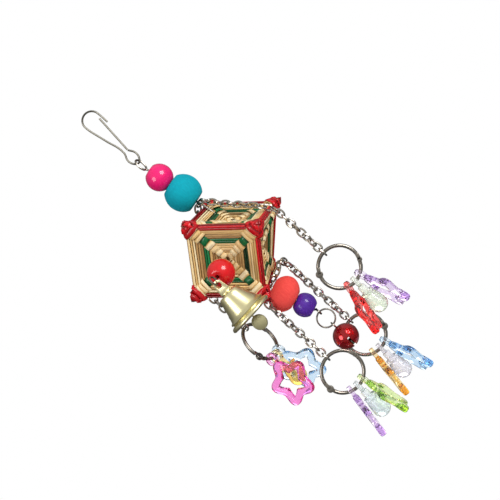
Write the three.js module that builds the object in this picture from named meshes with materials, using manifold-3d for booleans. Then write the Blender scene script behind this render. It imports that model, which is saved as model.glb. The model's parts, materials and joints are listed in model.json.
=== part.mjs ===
// A hanging parrot toy: a spring wire clip carries a wire with wooden beads and a cube woven from leaf
// strips. Chains lie over the cube and end in hinged rings with clear acrylic charms; a brass bell hangs
// in front of the cube and a jingle bell below it.
// Millimetres, +Z up. The origin is the inner top of the clip's bow, and the toy hangs at rest.

import * as THREE from 'three';
import { mergeVertices } from 'three/addons/utils/BufferGeometryUtils.js';
import Module from 'manifold-3d';

const wasm = await Module();
wasm.setup();

// Clearance between neighbours
const GAP = 0.3;

// Spring wire clip
const CLIP_WIRE = 1.1;
const BOW_RADIUS = 5.2;
const CLIP_WAIST_DEPTH = 29.6;
const CLIP_WAIST_WIDTH = 2.6;
const CLIP_LOOP_WIDTH = 6.2;
const CLIP_LOOP_LENGTH = 9.8;
const GATE_CATCH = 4.6;

// Main wire and its eyes
const MAIN_WIRE = 1.2;
const TOP_EYE_LENGTH = 6.8;
const TOP_EYE_WIDTH = 4;
const LOWER_EYE_LENGTH = 3.6;
const LOWER_EYE_WIDTH = 5.8;
const UPPER_TILT = 8.9;
const LOWER_TILT = 14.3;
const EXIT_SIDEWAYS = 4.5;
const EXIT_RISE = 3;
const EXIT_TO_CORAL = new THREE.Vector3(-0.55, -1.5, -4.1);

// Wooden beads: width across, length along the hole, width of the flat ends
const BEAD_BORE_SLACK = 0.5;
const PINK = { width: 15.4, length: 13.6, flat: 7.22 };
const TURQUOISE = { width: 21, length: 17, flat: 12.33 };
const CORAL = { width: 20.7, length: 14.4, flat: 10 };
const VIOLET = { width: 13.5, length: 11, flat: 7.83 };
const RED = { width: 15, length: 13.4, flat: 6.74 };

// Woven cube: half side over the edges, turn to the left and roll onto one edge
const CUBE_HALF = 20;
const CUBE_CENTRE = new THREE.Vector3(1, -7.6, -110.4);
const CUBE_YAW = 26;
const CUBE_ROLL = 44;
const CUBE_SKEW = new THREE.Vector3(-4.4, 0, 4.9);
const CUBE_PIT = 5.2;
const STRIP_STEP = 0.35;
const CORE_LEVEL = 0.67;
const GREEN_LEVEL = 0.758;
const STRAW_LEVEL = 0.918;
const KNOT_RADIUS = 3.2;
const KNOT_PLACE = 0.91;
const STICK_WIDTH = 2.5;
const STICK_PROUD = 1.4;
const HUB_RADIUS = 2.3;

// Chains: link length and width outside, wire thickness, links in each run
const CHAIN_WIRE = 1.2;
const LINK_LENGTH = 8;
const LINK_WIDTH = 5.5;
const LINK_BITE = 0.15;
const LINK_TWIST = 32;
const UPPER_DRAPE_LINKS = 8;
const LOWER_DRAPE_LINKS = 4;
const LOWER_LINK_RISE = 2.3;

// Bell, its wire and clapper
const BELL_WIRE = 1;
const BELL_EYE_LENGTH = 5;
const BELL_EYE_WIDTH = 5;
const BELL_EYE_REACH = 45;
const BELL_BEAD_SPACE = 2.3;
const BELL_WIRE_DROP = 3.3;
const BELL_CROWN_WIDTH = 13;
const BELL_RIM_WIDTH = 25.6;
const BELL_HEIGHT = 17;
const BELL_WALL = 0.8;
const TAB_WIDTH = 6;
const TAB_THICKNESS = 0.8;
const TAB_HOLE = 3.4;
const TAB_LENGTH = 9;
const CLAPPER_WIRE = 0.9;
const CLAPPER_DISC = 8.6;
const CLAPPER_DISC_THICKNESS = 1.6;
const CLAPPER_DROP = 5.3;

// Split ring and jingle bell
const SPLIT_WIRE = 0.9;
const SPLIT_RADIUS = 5.1;
const SPLIT_PITCH = 1.35;
const SPLIT_TURNS = 2;
const JINGLE_WIDTH = 15.4;
const JINGLE_WALL = 0.8;
const JINGLE_SLIT = 1.5;
const JINGLE_LOOP_WIRE = 1;
const JINGLE_LOOP_WIDTH = 5;
const JINGLE_LOOP_LENGTH = 3.6;
const PELLET_WIDTH = 4.4;

// Hinged rings
const RING_WIDTH = 25;
const RING_WIRE = 2;
const RING_TAB_RADIUS = 2.1;
const RING_RIVET = 1.2;
const RING_RIVET_HEAD = 2.3;

// Charms
const CHARM_HOLE = 4.8;
const CHARM_LOOP_WIDTH = 7.6;
const CHARM_LOOP_THICKNESS = 2.4;
const CHARM_HANG = 0.7;
const STAR_RADIUS = 12.4;
const STAR_LOBE = 1.6;
const STAR_HOLE_TIP = 9.4;
const STAR_HOLE_VALLEY = 5.4;
const STAR_THICKNESS = 3.6;
const BULB_RADIUS = 6.1;
const BULB_LENGTH = 12.5;
const BULB_STEM = 7.4;
const NECK_RADIUS = 1.9;
const SHIELD_LENGTH = 13;
const SHIELD_WIDTH = 7.6;
const SHIELD_THICKNESS = 1.8;

// Facets
const WIRE_SIDES = 5;
const LINK_SIDES = 4;
const LINK_STEPS = 6;
const ROUND_STEPS = 12;
const LOOP_STEPS = 4;
const STICK_SIDES = 5;
const JINGLE_STEPS = 10;

const point = (x, y, z) => new THREE.Vector3(x, y, z);
const UP = point(0, 0, 1);
const RIGHT = point(1, 0, 0);
const AWAY = point(0, 1, 0);
const radians = THREE.MathUtils.degToRad;
const along = (from, direction, distance) => from.clone().addScaledVector(direction, distance);
const lerp = (a, b, share) => a.clone().lerp(b, share);

// Solids

function solid(geometry) {
  const bare = new THREE.BufferGeometry();
  bare.setAttribute('position', geometry.getAttribute('position'));
  bare.setIndex(geometry.getIndex());
  const merged = mergeVertices(bare, 1e-4);
  const corners = [];
  const index = merged.getIndex().array;
  for (let i = 0; i < index.length; i += 3) {
    const [a, b, c] = [index[i], index[i + 1], index[i + 2]];
    if (a !== b && b !== c && c !== a) corners.push(a, b, c);
  }
  return new wasm.Manifold(new wasm.Mesh({
    numProp: 3,
    vertProperties: new Float32Array(merged.getAttribute('position').array),
    triVerts: new Uint32Array(corners),
  }));
}

function geometryOf(body) {
  const mesh = body.getMesh();
  const geometry = new THREE.BufferGeometry();
  geometry.setAttribute('position', new THREE.BufferAttribute(new Float32Array(mesh.vertProperties), 3));
  geometry.setIndex(new THREE.BufferAttribute(new Uint32Array(mesh.triVerts), 1));
  geometry.computeVertexNormals();
  return geometry;
}

const join = (bodies) => bodies.reduce((whole, body) => whole.add(body));
const cut = (body, tools) => tools.reduce((left, tool) => left.subtract(tool), body);

// A frame at a point, with its X along one direction and its Z as near as can be to another
function frame(origin, xAxis, zHint) {
  const x = xAxis.clone().normalize();
  const z = zHint.clone().addScaledVector(x, -zHint.dot(x)).normalize();
  const y = z.clone().cross(x);
  return new THREE.Matrix4().makeBasis(x, y, z).setPosition(origin);
}

function placed(geometry, origin, xAxis, zHint) {
  return solid(geometry.applyMatrix4(frame(origin, xAxis, zHint)));
}

// Wire along a line of points
function wire(points, thickness, steps, sides = WIRE_SIDES) {
  const path = points.length === 2
    ? new THREE.LineCurve3(points[0], points[1])
    : new THREE.CatmullRomCurve3(points, false, 'centripetal');
  const section = new THREE.Shape();
  for (let i = 0; i < sides; i += 1) {
    const turn = (2 * Math.PI * i) / sides;
    const x = (thickness / 2) * Math.cos(turn);
    const y = (thickness / 2) * Math.sin(turn);
    if (i === 0) section.moveTo(x, y);
    else section.lineTo(x, y);
  }
  const sweep = { steps, extrudePath: path, bevelEnabled: false, curveSegments: 1 };
  return solid(new THREE.ExtrudeGeometry(section, sweep));
}

// Oval ring of round wire, its length and width measured between the wire's centre lines
function ovalRing(origin, lengthAxis, widthAxis, length, width, thickness, steps = 8, sides = WIRE_SIDES) {
  const ring = new THREE.TorusGeometry(width / 2, thickness / 2, sides, steps);
  if (steps % 4 === 0) ring.rotateZ(Math.PI / steps);
  const places = ring.getAttribute('position');
  for (let i = 0; i < places.count; i += 1) {
    const x = places.getX(i);
    places.setX(i, x + (Math.sign(x) * (length - width)) / 2);
  }
  return placed(ring, origin, lengthAxis, lengthAxis.clone().cross(widthAxis));
}

// Round body about an axis, from a profile of [radius, height] pairs
function turned(profile, origin, axis, steps = ROUND_STEPS) {
  const outline = profile.map(([radius, height]) => new THREE.Vector2(radius, height));
  const body = new THREE.LatheGeometry(outline, steps);
  body.rotateX(Math.PI / 2);
  const side = Math.abs(axis.x) < 0.9 ? RIGHT : AWAY;
  const across = side.clone().addScaledVector(axis, -side.dot(axis)).normalize();
  return solid(body.applyMatrix4(frame(origin, across, axis)));
}

function rod(from, to, radius, steps = 6) {
  const axis = to.clone().sub(from);
  const half = axis.length() / 2;
  const profile = [[0, -half], [radius, -half], [radius, half], [0, half]];
  return turned(profile, lerp(from, to, 0.5), axis.normalize(), steps);
}

function ball(centre, radius, steps = ROUND_STEPS) {
  const sphere = new THREE.SphereGeometry(radius, steps, steps / 2);
  return solid(sphere.translate(centre.x, centre.y, centre.z));
}

function block(origin, xAxis, zAxis, size) {
  return placed(new THREE.BoxGeometry(size[0], size[1], size[2]), origin, xAxis, zAxis);
}

// Ball-shaped bead with flat ends and a hole
function bead(size, hole, centre, axis) {
  const radius = size.width / 2;
  const half = size.length / 2;
  const rim = Math.acos(size.flat / size.width);
  const depth = half / Math.sin(rim);
  const profile = [[hole, -half]];
  const rings = 6;
  for (let i = 0; i <= rings; i += 1) {
    const turn = -rim + (2 * rim * i) / rings;
    profile.push([radius * Math.cos(turn), depth * Math.sin(turn)]);
  }
  profile.push([hole, half], [hole, -half]);
  return turned(profile, centre, axis);
}

// The toy, one named mesh a piece

const toy = new THREE.Group();
const pivots = {};

function piece(name, body, look) {
  const material = new THREE.MeshStandardMaterial(look);
  const mesh = new THREE.Mesh(geometryOf(body), material);
  mesh.name = name;
  toy.add(mesh);
}

function pivot(name, place, axis) {
  pivots[name] = { place: place.toArray(), axis: axis.clone().normalize().toArray() };
}

const STEEL = { color: 0xb9bcc0, roughness: 0.3, metalness: 1 };
const BRASS = { color: 0xc8be82, roughness: 0.25, metalness: 1 };
const gloss = (color) => ({ color, roughness: 0.15, metalness: 0 });
const matte = (color) => ({ color, roughness: 0.7, metalness: 0 });
const acrylic = (color) => ({ color, roughness: 0.05, metalness: 0, transparent: true, opacity: 0.6 });

// Spring wire clip: one bent wire for the bow, back and loop, and the gate wire that springs against it

const clipRadius = CLIP_WIRE / 2;
const bowCentre = point(0, 0, clipRadius - BOW_RADIUS);
const waist = -CLIP_WAIST_DEPTH;
const loopFoot = waist - CLIP_LOOP_LENGTH;
const clipPath = [point(BOW_RADIUS + 0.1, 0, bowCentre.z - GATE_CATCH - 2.2)];
clipPath.push(point(BOW_RADIUS + 0.1, 0, bowCentre.z - GATE_CATCH / 2));
for (let turn = 0; turn <= 180; turn += 30) {
  const sweep = radians(turn);
  clipPath.push(point(BOW_RADIUS * Math.cos(sweep), 0, bowCentre.z + BOW_RADIUS * Math.sin(sweep)));
}
clipPath.push(
  lerp(point(-BOW_RADIUS, 0, bowCentre.z), point(-CLIP_WAIST_WIDTH / 2, 0, waist), 0.5),
  point(-CLIP_WAIST_WIDTH / 2, 0, waist),
  point(-CLIP_LOOP_WIDTH / 2, 0, waist - 0.5 * CLIP_LOOP_LENGTH),
  point(-CLIP_LOOP_WIDTH / 4, 0, waist - 0.92 * CLIP_LOOP_LENGTH),
  point(0, 0, loopFoot),
  point(CLIP_LOOP_WIDTH / 4, 0, waist - 0.92 * CLIP_LOOP_LENGTH),
  point(CLIP_LOOP_WIDTH / 2, 0, waist - 0.5 * CLIP_LOOP_LENGTH),
  point(CLIP_WAIST_WIDTH / 2, 0, waist - 0.6),
);
piece('clip_body', wire(clipPath, CLIP_WIRE, 36), STEEL);

const gateFoot = point(CLIP_WAIST_WIDTH / 2, 0, waist - 0.6 + GAP);
const gateTip = point(BOW_RADIUS - CLIP_WIRE - 0.4, 0, bowCentre.z - GATE_CATCH / 2);
piece('clip_gate', wire([gateFoot, lerp(gateFoot, gateTip, 0.5), gateTip], CLIP_WIRE, 4), STEEL);
pivot('gate', gateFoot, point(0, -1, 0));

// Main wire: from the clip's loop through the beads and the cube to the lower eye

const mainRadius = MAIN_WIRE / 2;
const beadHole = mainRadius + BEAD_BORE_SLACK;
const topEyeTop = point(0, 0, loopFoot + clipRadius + mainRadius + GAP);
const topEyeCentre = along(topEyeTop, UP, -TOP_EYE_LENGTH / 2);
const topEyeFoot = along(topEyeTop, UP, -TOP_EYE_LENGTH);
const upperAxis = point(Math.sin(radians(UPPER_TILT)), 0, -Math.cos(radians(UPPER_TILT)));
const lowerAxis = point(Math.sin(radians(LOWER_TILT)), 0, -Math.cos(radians(LOWER_TILT)));
const pinkCentre = along(along(topEyeFoot, upperAxis, PINK.length / 2 + 1.8), RIGHT, 0.4);
const turquoiseCentre = along(pinkCentre, upperAxis, (PINK.length + TURQUOISE.length) / 2 + GAP);
const turquoiseFoot = along(turquoiseCentre, upperAxis, TURQUOISE.length / 2);

// The cube's own directions: across, towards the viewer, and its two face directions
const yaw = radians(CUBE_YAW);
const roll = radians(CUBE_ROLL);
const across = point(Math.cos(yaw), -Math.sin(yaw), 0);
const front = point(-Math.sin(yaw), -Math.cos(yaw), 0);
const faceRight = across.clone().multiplyScalar(Math.cos(roll)).addScaledVector(UP, -Math.sin(roll));
const faceLeft = across.clone().multiplyScalar(-Math.sin(roll)).addScaledVector(UP, -Math.cos(roll));
const edgeReach = CUBE_HALF * Math.SQRT2;
const inCube = (sideways, height, forward) => along(
  along(along(CUBE_CENTRE, across, sideways), UP, height), front, forward);

// The wire passes behind the cube's middle and bends round the sticks
const wireSetBack = 0.4 * CUBE_HALF;
const stickPass = (STICK_WIDTH + MAIN_WIRE) / 2 + 2 * GAP;
const cubeEntry = inCube(stickPass, edgeReach, -wireSetBack);
const cubeExit = inCube(-EXIT_SIDEWAYS, -edgeReach + EXIT_RISE, -wireSetBack / 2);
const upperLinkPlace = point(
  (turquoiseFoot.x + cubeEntry.x) / 2, (turquoiseFoot.y + cubeEntry.y) / 2,
  turquoiseFoot.z - CHAIN_WIRE / 2 - 5 * GAP);
const coralTop = cubeExit.clone().add(EXIT_TO_CORAL);
const coralCentre = along(coralTop, lowerAxis, CORAL.length / 2);
const violetCentre = along(coralCentre, lowerAxis, (CORAL.length + VIOLET.length) / 2 + GAP);
const violetFoot = along(violetCentre, lowerAxis, VIOLET.length / 2);
const lowerEyeTop = along(violetFoot, point(1.3, 0, -1), 0.5 + GAP);
const lowerEyeCentre = along(lowerEyeTop, UP, -LOWER_EYE_LENGTH / 2);
const mainPath = [
  along(topEyeFoot, UP, -0.1),
  along(pinkCentre, upperAxis, -PINK.length / 2),
  along(pinkCentre, upperAxis, PINK.length / 2),
  along(turquoiseCentre, upperAxis, 0),
  turquoiseFoot,
  upperLinkPlace,
  cubeEntry,
  inCube(stickPass + GAP, 0.5 * edgeReach, -wireSetBack),
  inCube(stickPass + GAP, 0.3 * edgeReach, -wireSetBack),
  inCube(-stickPass - 1.2, -0.2 * edgeReach, -0.6 * wireSetBack),
  inCube(-stickPass - 1.6, -0.4 * edgeReach, -0.6 * wireSetBack),
  cubeExit,
  coralTop,
  coralCentre,
  violetCentre,
  violetFoot,
  along(lowerEyeTop, UP, -0.1),
];
const mainSteps = 34;
const topEye = ovalRing(topEyeCentre, UP, AWAY, TOP_EYE_LENGTH, TOP_EYE_WIDTH, MAIN_WIRE);
const lowerEye = ovalRing(lowerEyeCentre, UP, AWAY, LOWER_EYE_LENGTH, LOWER_EYE_WIDTH, MAIN_WIRE);
piece('main_wire', join([wire(mainPath, MAIN_WIRE, mainSteps), topEye, lowerEye]), STEEL);
pivot('wire', topEyeTop, AWAY);

piece('pink_bead', bead(PINK, beadHole, pinkCentre, upperAxis), gloss(0xec146e));
piece('turquoise_bead', bead(TURQUOISE, beadHole, turquoiseCentre, upperAxis), matte(0x14a5b9));
piece('coral_bead', bead(CORAL, beadHole, coralCentre, lowerAxis), matte(0xe14646));
piece('violet_bead', bead(VIOLET, beadHole, violetCentre, lowerAxis), gloss(0x5528a5));
pivot('pink_bead', pinkCentre, upperAxis);
pivot('turquoise_bead', turquoiseCentre, upperAxis);
pivot('coral_bead', coralCentre, lowerAxis);
pivot('violet_bead', violetCentre, lowerAxis);

// Woven cube: windings lie in levels from the middle out, each one seen on all six faces

// A place in the cube from -1 to 1 on each of its axes; the back lower corner is drawn in
function inWeave(left, right, forward) {
  const pull = ((1 + left) * (1 + right) * (1 - forward)) / 8;
  return along(
    along(along(along(CUBE_CENTRE, faceLeft, CUBE_HALF * left), faceRight, CUBE_HALF * right),
      front, CUBE_HALF * forward),
    CUBE_SKEW, pull);
}

// A closed body from triangles given in the cube's own places, turned to face outwards
function woven(triangles) {
  const places = [];
  for (const [a, b, c] of triangles) {
    const normal = b.clone().sub(a).cross(c.clone().sub(a));
    const outward = normal.dot(a.clone().add(b).add(c)) > 0;
    for (const corner of outward ? [a, b, c] : [a, c, b]) {
      places.push(...inWeave(corner.x, corner.y, corner.z).toArray());
    }
  }
  const geometry = new THREE.BufferGeometry();
  geometry.setAttribute('position', new THREE.Float32BufferAttribute(places, 3));
  return solid(geometry);
}

const AXES = [[0, 1, 2], [1, 2, 0], [2, 0, 1]];
const SQUARE = [[1, 1], [-1, 1], [-1, -1], [1, -1]];
function inAxes(axes, values) {
  const place = [0, 0, 0];
  axes.forEach((axis, i) => {
    place[axis] = values[i];
  });
  return point(...place);
}

// The cube with its six sunken faces, raised or lowered by a little
function sunkenCube(rise) {
  const edge = 1 + rise / CUBE_HALF;
  const middle = edge - CUBE_PIT / CUBE_HALF;
  const triangles = [];
  for (const axes of AXES) {
    for (const side of [-1, 1]) {
      const rim = SQUARE.map(([a, b]) => inAxes(axes, [side * edge, a * edge, b * edge]));
      const pit = inAxes(axes, [side * middle, 0, 0]);
      rim.forEach((corner, i) => triangles.push([corner, rim[(i + 1) % 4], pit]));
    }
  }
  return woven(triangles);
}

// All that lies within one level of the winding, a body with twelve slanted sides
function withinLevel(level) {
  const triangles = [];
  for (const [i, j, k] of AXES) {
    for (const [a, b] of SQUARE) {
      const near = inAxes([i, j, k], [a * level, b * level, -level]);
      const far = inAxes([i, j, k], [a * level, b * level, level]);
      const first = inAxes([i, j, k], [2 * a * level, 0, 0]);
      const second = inAxes([i, j, k], [0, 2 * b * level, 0]);
      triangles.push([near, first, far], [near, far, second]);
    }
  }
  return woven(triangles);
}

const levelGap = GAP / (2 * Math.SQRT2 * CUBE_HALF);
const band = (inner, outer) => sunkenCube(0).intersect(withinLevel(outer)).subtract(withinLevel(inner));

const corners = [];
for (const left of [-1, 1]) {
  for (const right of [-1, 1]) {
    for (const forward of [-1, 1]) corners.push([left, right, forward]);
  }
}
const stickEnd = 1 + STICK_PROUD / (CUBE_HALF * Math.sqrt(3));
const stickRadius = STICK_WIDTH / 2;
const stickTip = (corner, reach) => lerp(CUBE_CENTRE, inWeave(...corner), reach);
const stickRod = (corner) => rod(CUBE_CENTRE, stickTip(corner, stickEnd), stickRadius, STICK_SIDES);
const sticks = join([ball(CUBE_CENTRE, HUB_RADIUS, 6), ...corners.map(stickRod)]);
const stickHole = (corner) => rod(
  CUBE_CENTRE, stickTip(corner, 1.1 * stickEnd), stickRadius + GAP, STICK_SIDES);
const stickHoles = corners.map(stickHole);
stickHoles.push(ball(CUBE_CENTRE, HUB_RADIUS + 2 * GAP, 6));

// Bell wire: through the cube beside the sticks, out of the front face to the bead and its eye
const bellWireRadius = BELL_WIRE / 2;
const bellPass = (STICK_WIDTH + BELL_WIRE) / 2 + 2 * GAP;
const backPit = CUBE_HALF - CUBE_PIT;
const bellEyeCentre = inCube(0, -BELL_WIRE_DROP, BELL_EYE_REACH);
const redReach = BELL_EYE_REACH - BELL_BEAD_SPACE - (BELL_EYE_WIDTH + BELL_WIRE + RED.length) / 2;
const redCentre = inCube(0, -BELL_WIRE_DROP, redReach);
const bellPath = [
  inCube(bellPass, -bellPass - 6, -backPit - 3.6),
  inCube(bellPass, -bellPass - 1.6, -backPit - 2.4),
  inCube(bellPass, -bellPass, -backPit),
  inCube(bellPass, -bellPass, -backPit / 2),
  inCube(bellPass, -bellPass, 2),
  inCube(bellPass / 2, -0.9 * BELL_WIRE_DROP, backPit),
  along(redCentre, front, -RED.length / 2),
  along(redCentre, front, RED.length / 2),
  along(bellEyeCentre, front, -BELL_EYE_WIDTH / 2 + 0.1),
];
const bellSteps = 18;
const bellEye = ovalRing(bellEyeCentre, front, UP, BELL_EYE_WIDTH, BELL_EYE_LENGTH, BELL_WIRE);
piece('bell_wire', join([wire(bellPath, BELL_WIRE, bellSteps), bellEye]), STEEL);
piece('red_bead', bead(RED, bellWireRadius + BEAD_BORE_SLACK, redCentre, front), gloss(0xd70f19));
pivot('red_bead', redCentre, front);

const cubeHoles = [
  ...stickHoles,
  wire(mainPath, MAIN_WIRE + 2 * GAP, mainSteps),
  wire(bellPath, BELL_WIRE + 2 * GAP, bellSteps),
];
const knots = corners.map((corner) => ball(inWeave(...corner.map((c) => KNOT_PLACE * c)), KNOT_RADIUS, 6));
const redFrame = join([sunkenCube(STRIP_STEP).subtract(withinLevel(STRAW_LEVEL + levelGap)),
  ...knots.map((knot) => knot.subtract(withinLevel(STRAW_LEVEL + levelGap)))]);
piece('diagonal_sticks', sticks, matte(0xb08a55));
const strawCore = sunkenCube(-STRIP_STEP).intersect(withinLevel(CORE_LEVEL - levelGap));
const greenRing = band(CORE_LEVEL + levelGap, GREEN_LEVEL - levelGap);
const strawRing = band(GREEN_LEVEL + levelGap, STRAW_LEVEL - levelGap);
piece('straw_core', cut(strawCore, cubeHoles), matte(0xdebe82));
piece('green_winding', cut(greenRing, cubeHoles), matte(0x0f693c));
piece('straw_winding', cut(strawRing, cubeHoles), matte(0xdebe82));
piece('red_winding', cut(redFrame, cubeHoles), matte(0xbe0f19));

// Chains: flat twisted links, closed up where they lie and free where they hang

const linkHalf = (LINK_LENGTH - CHAIN_WIRE) / 2;
const linkStep = 2 * linkHalf - CHAIN_WIRE + LINK_BITE;
const linkGrip = linkHalf - linkStep / 2;
const looseStep = CHAIN_WIRE + GAP - 2 * linkGrip;

function link(from, to, widthHint) {
  const run = to.clone().sub(from).normalize();
  const width = widthHint.clone().addScaledVector(run, -widthHint.dot(run)).normalize();
  return ovalRing(lerp(from, to, 0.5), run, width, 2 * linkHalf, LINK_WIDTH - CHAIN_WIRE, CHAIN_WIRE,
    LINK_STEPS, LINK_SIDES);
}

// Places one link apart on a curve, from a start to one end
function linkJoints(curve, start, count) {
  const samples = curve.getPoints(400);
  const joints = [start];
  let last = start;
  for (const sample of samples) {
    if (joints.length > count) break;
    if (sample.distanceTo(last) >= linkStep) {
      const step = sample.clone().sub(last).normalize();
      last = along(last, step, linkStep);
      joints.push(last);
    }
  }
  return joints;
}

// A run of links between joints; each link's width direction comes from its number
function chainRun(joints, widthOf) {
  const links = [];
  for (let i = 0; i + 1 < joints.length; i += 1) links.push(link(joints[i], joints[i + 1], widthOf(i)));
  return join(links);
}

// A chain draped both ways from the link that is threaded on the main wire
function drape(name, middle, across0, routes, count, flatWidth) {
  const sides = routes.map((route, side) => {
    const start = along(middle, across0, (side === 0 ? -1 : 1) * (linkStep / 2));
    const curve = new THREE.CatmullRomCurve3([start, ...route], false, 'centripetal');
    return linkJoints(curve, start, count);
  });
  const joints = [...sides[0].reverse(), ...sides[1]];
  const last = joints.length - 2;
  const widthOf = (i) => {
    const run = joints[i + 1].clone().sub(joints[i]).normalize();
    const plain = i === 0 || i === last || i === last / 2;
    const twist = plain ? 0 : radians(i % 2 === 0 ? LINK_TWIST : -LINK_TWIST);
    return flatWidth(lerp(joints[i], joints[i + 1], 0.5)).clone().applyAxisAngle(run, twist);
  };
  piece(name, chainRun(joints, widthOf), STEEL);
  return [joints[0], joints[joints.length - 1]];
}

const linkReach = ((LINK_WIDTH - CHAIN_WIRE) / 2) * Math.sin(radians(LINK_TWIST)) + CHAIN_WIRE / 2;
const chainSeat = linkReach + 3 * GAP + STRIP_STEP;
const seatLift = chainSeat * Math.SQRT1_2;
const upperRoute = (side, forwardAtEdge) => [
  inCube(side * (0.33 * edgeReach + seatLift), 0.67 * edgeReach + seatLift, -wireSetBack),
  inCube(side * (0.66 * edgeReach + seatLift), 0.34 * edgeReach + seatLift,
    (forwardAtEdge - wireSetBack) / 2),
  inCube(side * (0.93 * edgeReach + seatLift), 0.07 * edgeReach + seatLift, forwardAtEdge),
  inCube(side * (edgeReach + chainSeat + 2 * GAP), -0.1 * edgeReach, forwardAtEdge),
  inCube(side * (edgeReach + chainSeat + 2 * GAP), -0.6 * edgeReach, forwardAtEdge),
];
const [leftEnd, rightEnd] = drape('upper_chain', upperLinkPlace, across,
  [upperRoute(-1, 3), upperRoute(1, -2)], UPPER_DRAPE_LINKS, () => front);

const lowerLinkPlace = lerp(coralTop, cubeExit, LOWER_LINK_RISE / coralTop.distanceTo(cubeExit));
const beadSeat = CORAL.width / 2 + chainSeat;

// A way down past the coral bead: the turn about it, then out and up as shares of the chain's seat
const pastBead = ([turn, out, up]) => point(
  coralCentre.x + beadSeat * out * Math.cos(radians(turn)),
  coralCentre.y + beadSeat * out * Math.sin(radians(turn)),
  coralCentre.z + beadSeat * up);
const lowerRightRoute = [[-2, 0.5, 0.8], [10, 0.82, 1], [26, 1.09, 0.95], [37, 1.28, 0.55], [38, 1.3, 0]];
const lowerLeftRoute = [[195, 0.56, 0.62], [208, 0.78, 0.56], [218, 0.94, 0.24], [222, 0.99, -0.15],
  [222, 1, -0.7]];
const lowerAcross = point(1, 0, Math.tan(radians(LOWER_TILT))).normalize();
const awayFromBead = (place) => point(place.x - coralCentre.x, place.y - coralCentre.y, 0).normalize();
const [lowerLeftEnd, lowerRightEnd] = drape('lower_chain', lowerLinkPlace, lowerAcross,
  [lowerLeftRoute.map(pastBead), lowerRightRoute.map(pastBead)], LOWER_DRAPE_LINKS,
  (place) => UP.clone().cross(awayFromBead(place)));

// Charms on the rings

function annulus(outer, inner, thickness) {
  const shape = new THREE.Shape();
  shape.absarc(0, 0, outer, 0, 2 * Math.PI);
  const hole = new THREE.Path();
  hole.absarc(0, 0, inner, 0, 2 * Math.PI);
  shape.holes.push(hole);
  const depth = { depth: thickness, bevelEnabled: false, curveSegments: LOOP_STEPS };
  const ring = new THREE.ExtrudeGeometry(shape, depth);
  return ring.translate(0, 0, -thickness / 2);
}

// Star charm: a lobed frame with a star-shaped hole, and a loop at its top; Y up, in the XY plane
const starDrop = STAR_RADIUS + STAR_LOBE + CHARM_LOOP_WIDTH / 2 - 1.6;
function starCharm(place) {
  const outline = new THREE.Shape();
  const lobePoints = 20;
  for (let i = 0; i < lobePoints; i += 1) {
    const turn = Math.PI / 2 + (2 * Math.PI * i) / lobePoints;
    const radius = STAR_RADIUS + STAR_LOBE * Math.cos(5 * (turn - Math.PI / 2));
    const [x, y] = [radius * Math.cos(turn), radius * Math.sin(turn) - starDrop];
    if (i === 0) outline.moveTo(x, y);
    else outline.lineTo(x, y);
  }
  const hole = new THREE.Path();
  for (let i = 0; i < 10; i += 1) {
    const turn = Math.PI / 2 + (Math.PI * i) / 5;
    const radius = i % 2 === 0 ? STAR_HOLE_TIP : STAR_HOLE_VALLEY;
    const [x, y] = [radius * Math.cos(turn), radius * Math.sin(turn) - starDrop];
    if (i === 0) hole.moveTo(x, y);
    else hole.lineTo(x, y);
  }
  outline.holes.push(hole);
  const body = new THREE.ExtrudeGeometry(outline, { depth: STAR_THICKNESS, bevelEnabled: false });
  body.translate(0, 0, -STAR_THICKNESS / 2);
  const eye = solid(annulus(CHARM_LOOP_WIDTH / 2, CHARM_HOLE / 2, CHARM_LOOP_THICKNESS).applyMatrix4(place));
  const bore = new THREE.CylinderGeometry(CHARM_HOLE / 2, CHARM_HOLE / 2, 2 * STAR_THICKNESS, 2 * LOOP_STEPS);
  bore.rotateX(Math.PI / 2);
  return eye.add(solid(body.applyMatrix4(place))).subtract(solid(bore.applyMatrix4(place)));
}

// Bulb charm: a loop, a flat oval shield and a round bulb below it
function bulbCharm(place) {
  const eye = solid(annulus(CHARM_LOOP_WIDTH / 2, CHARM_HOLE / 2, CHARM_LOOP_THICKNESS).applyMatrix4(place));
  const shieldTop = -CHARM_LOOP_WIDTH / 2 - 3.2;
  const stemFoot = shieldTop - SHIELD_THICKNESS;
  const neckTop = shieldTop + 4;
  const profile = [[0, neckTop], [NECK_RADIUS, neckTop], [NECK_RADIUS, stemFoot - 1]];
  profile.push([BULB_STEM / 2, stemFoot - 1.6]);
  const middle = stemFoot - BULB_LENGTH + BULB_RADIUS;
  for (let turn = 40; turn >= -90; turn -= 26) {
    const sweep = radians(turn);
    profile.push([turn === -90 ? 0 : BULB_RADIUS * Math.cos(sweep), middle + BULB_RADIUS * Math.sin(sweep)]);
  }
  const bulb = new THREE.LatheGeometry(profile.reverse().map(([x, y]) => new THREE.Vector2(x, y)), 8);
  const shield = new THREE.CylinderGeometry(0.5, 0.5, SHIELD_THICKNESS, ROUND_STEPS);
  shield.scale(SHIELD_LENGTH, 1, SHIELD_WIDTH);
  shield.translate(0, shieldTop - SHIELD_THICKNESS / 2, 0);
  return join([eye, solid(bulb.applyMatrix4(place)), solid(shield.applyMatrix4(place))]);
}

// Hanging chains, hinged rings and their charms

const ringRadius = (RING_WIDTH - RING_WIRE) / 2;
const ringWireRadius = RING_WIRE / 2;
const tabHalf = (RING_WIRE - GAP) / 2;

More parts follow.
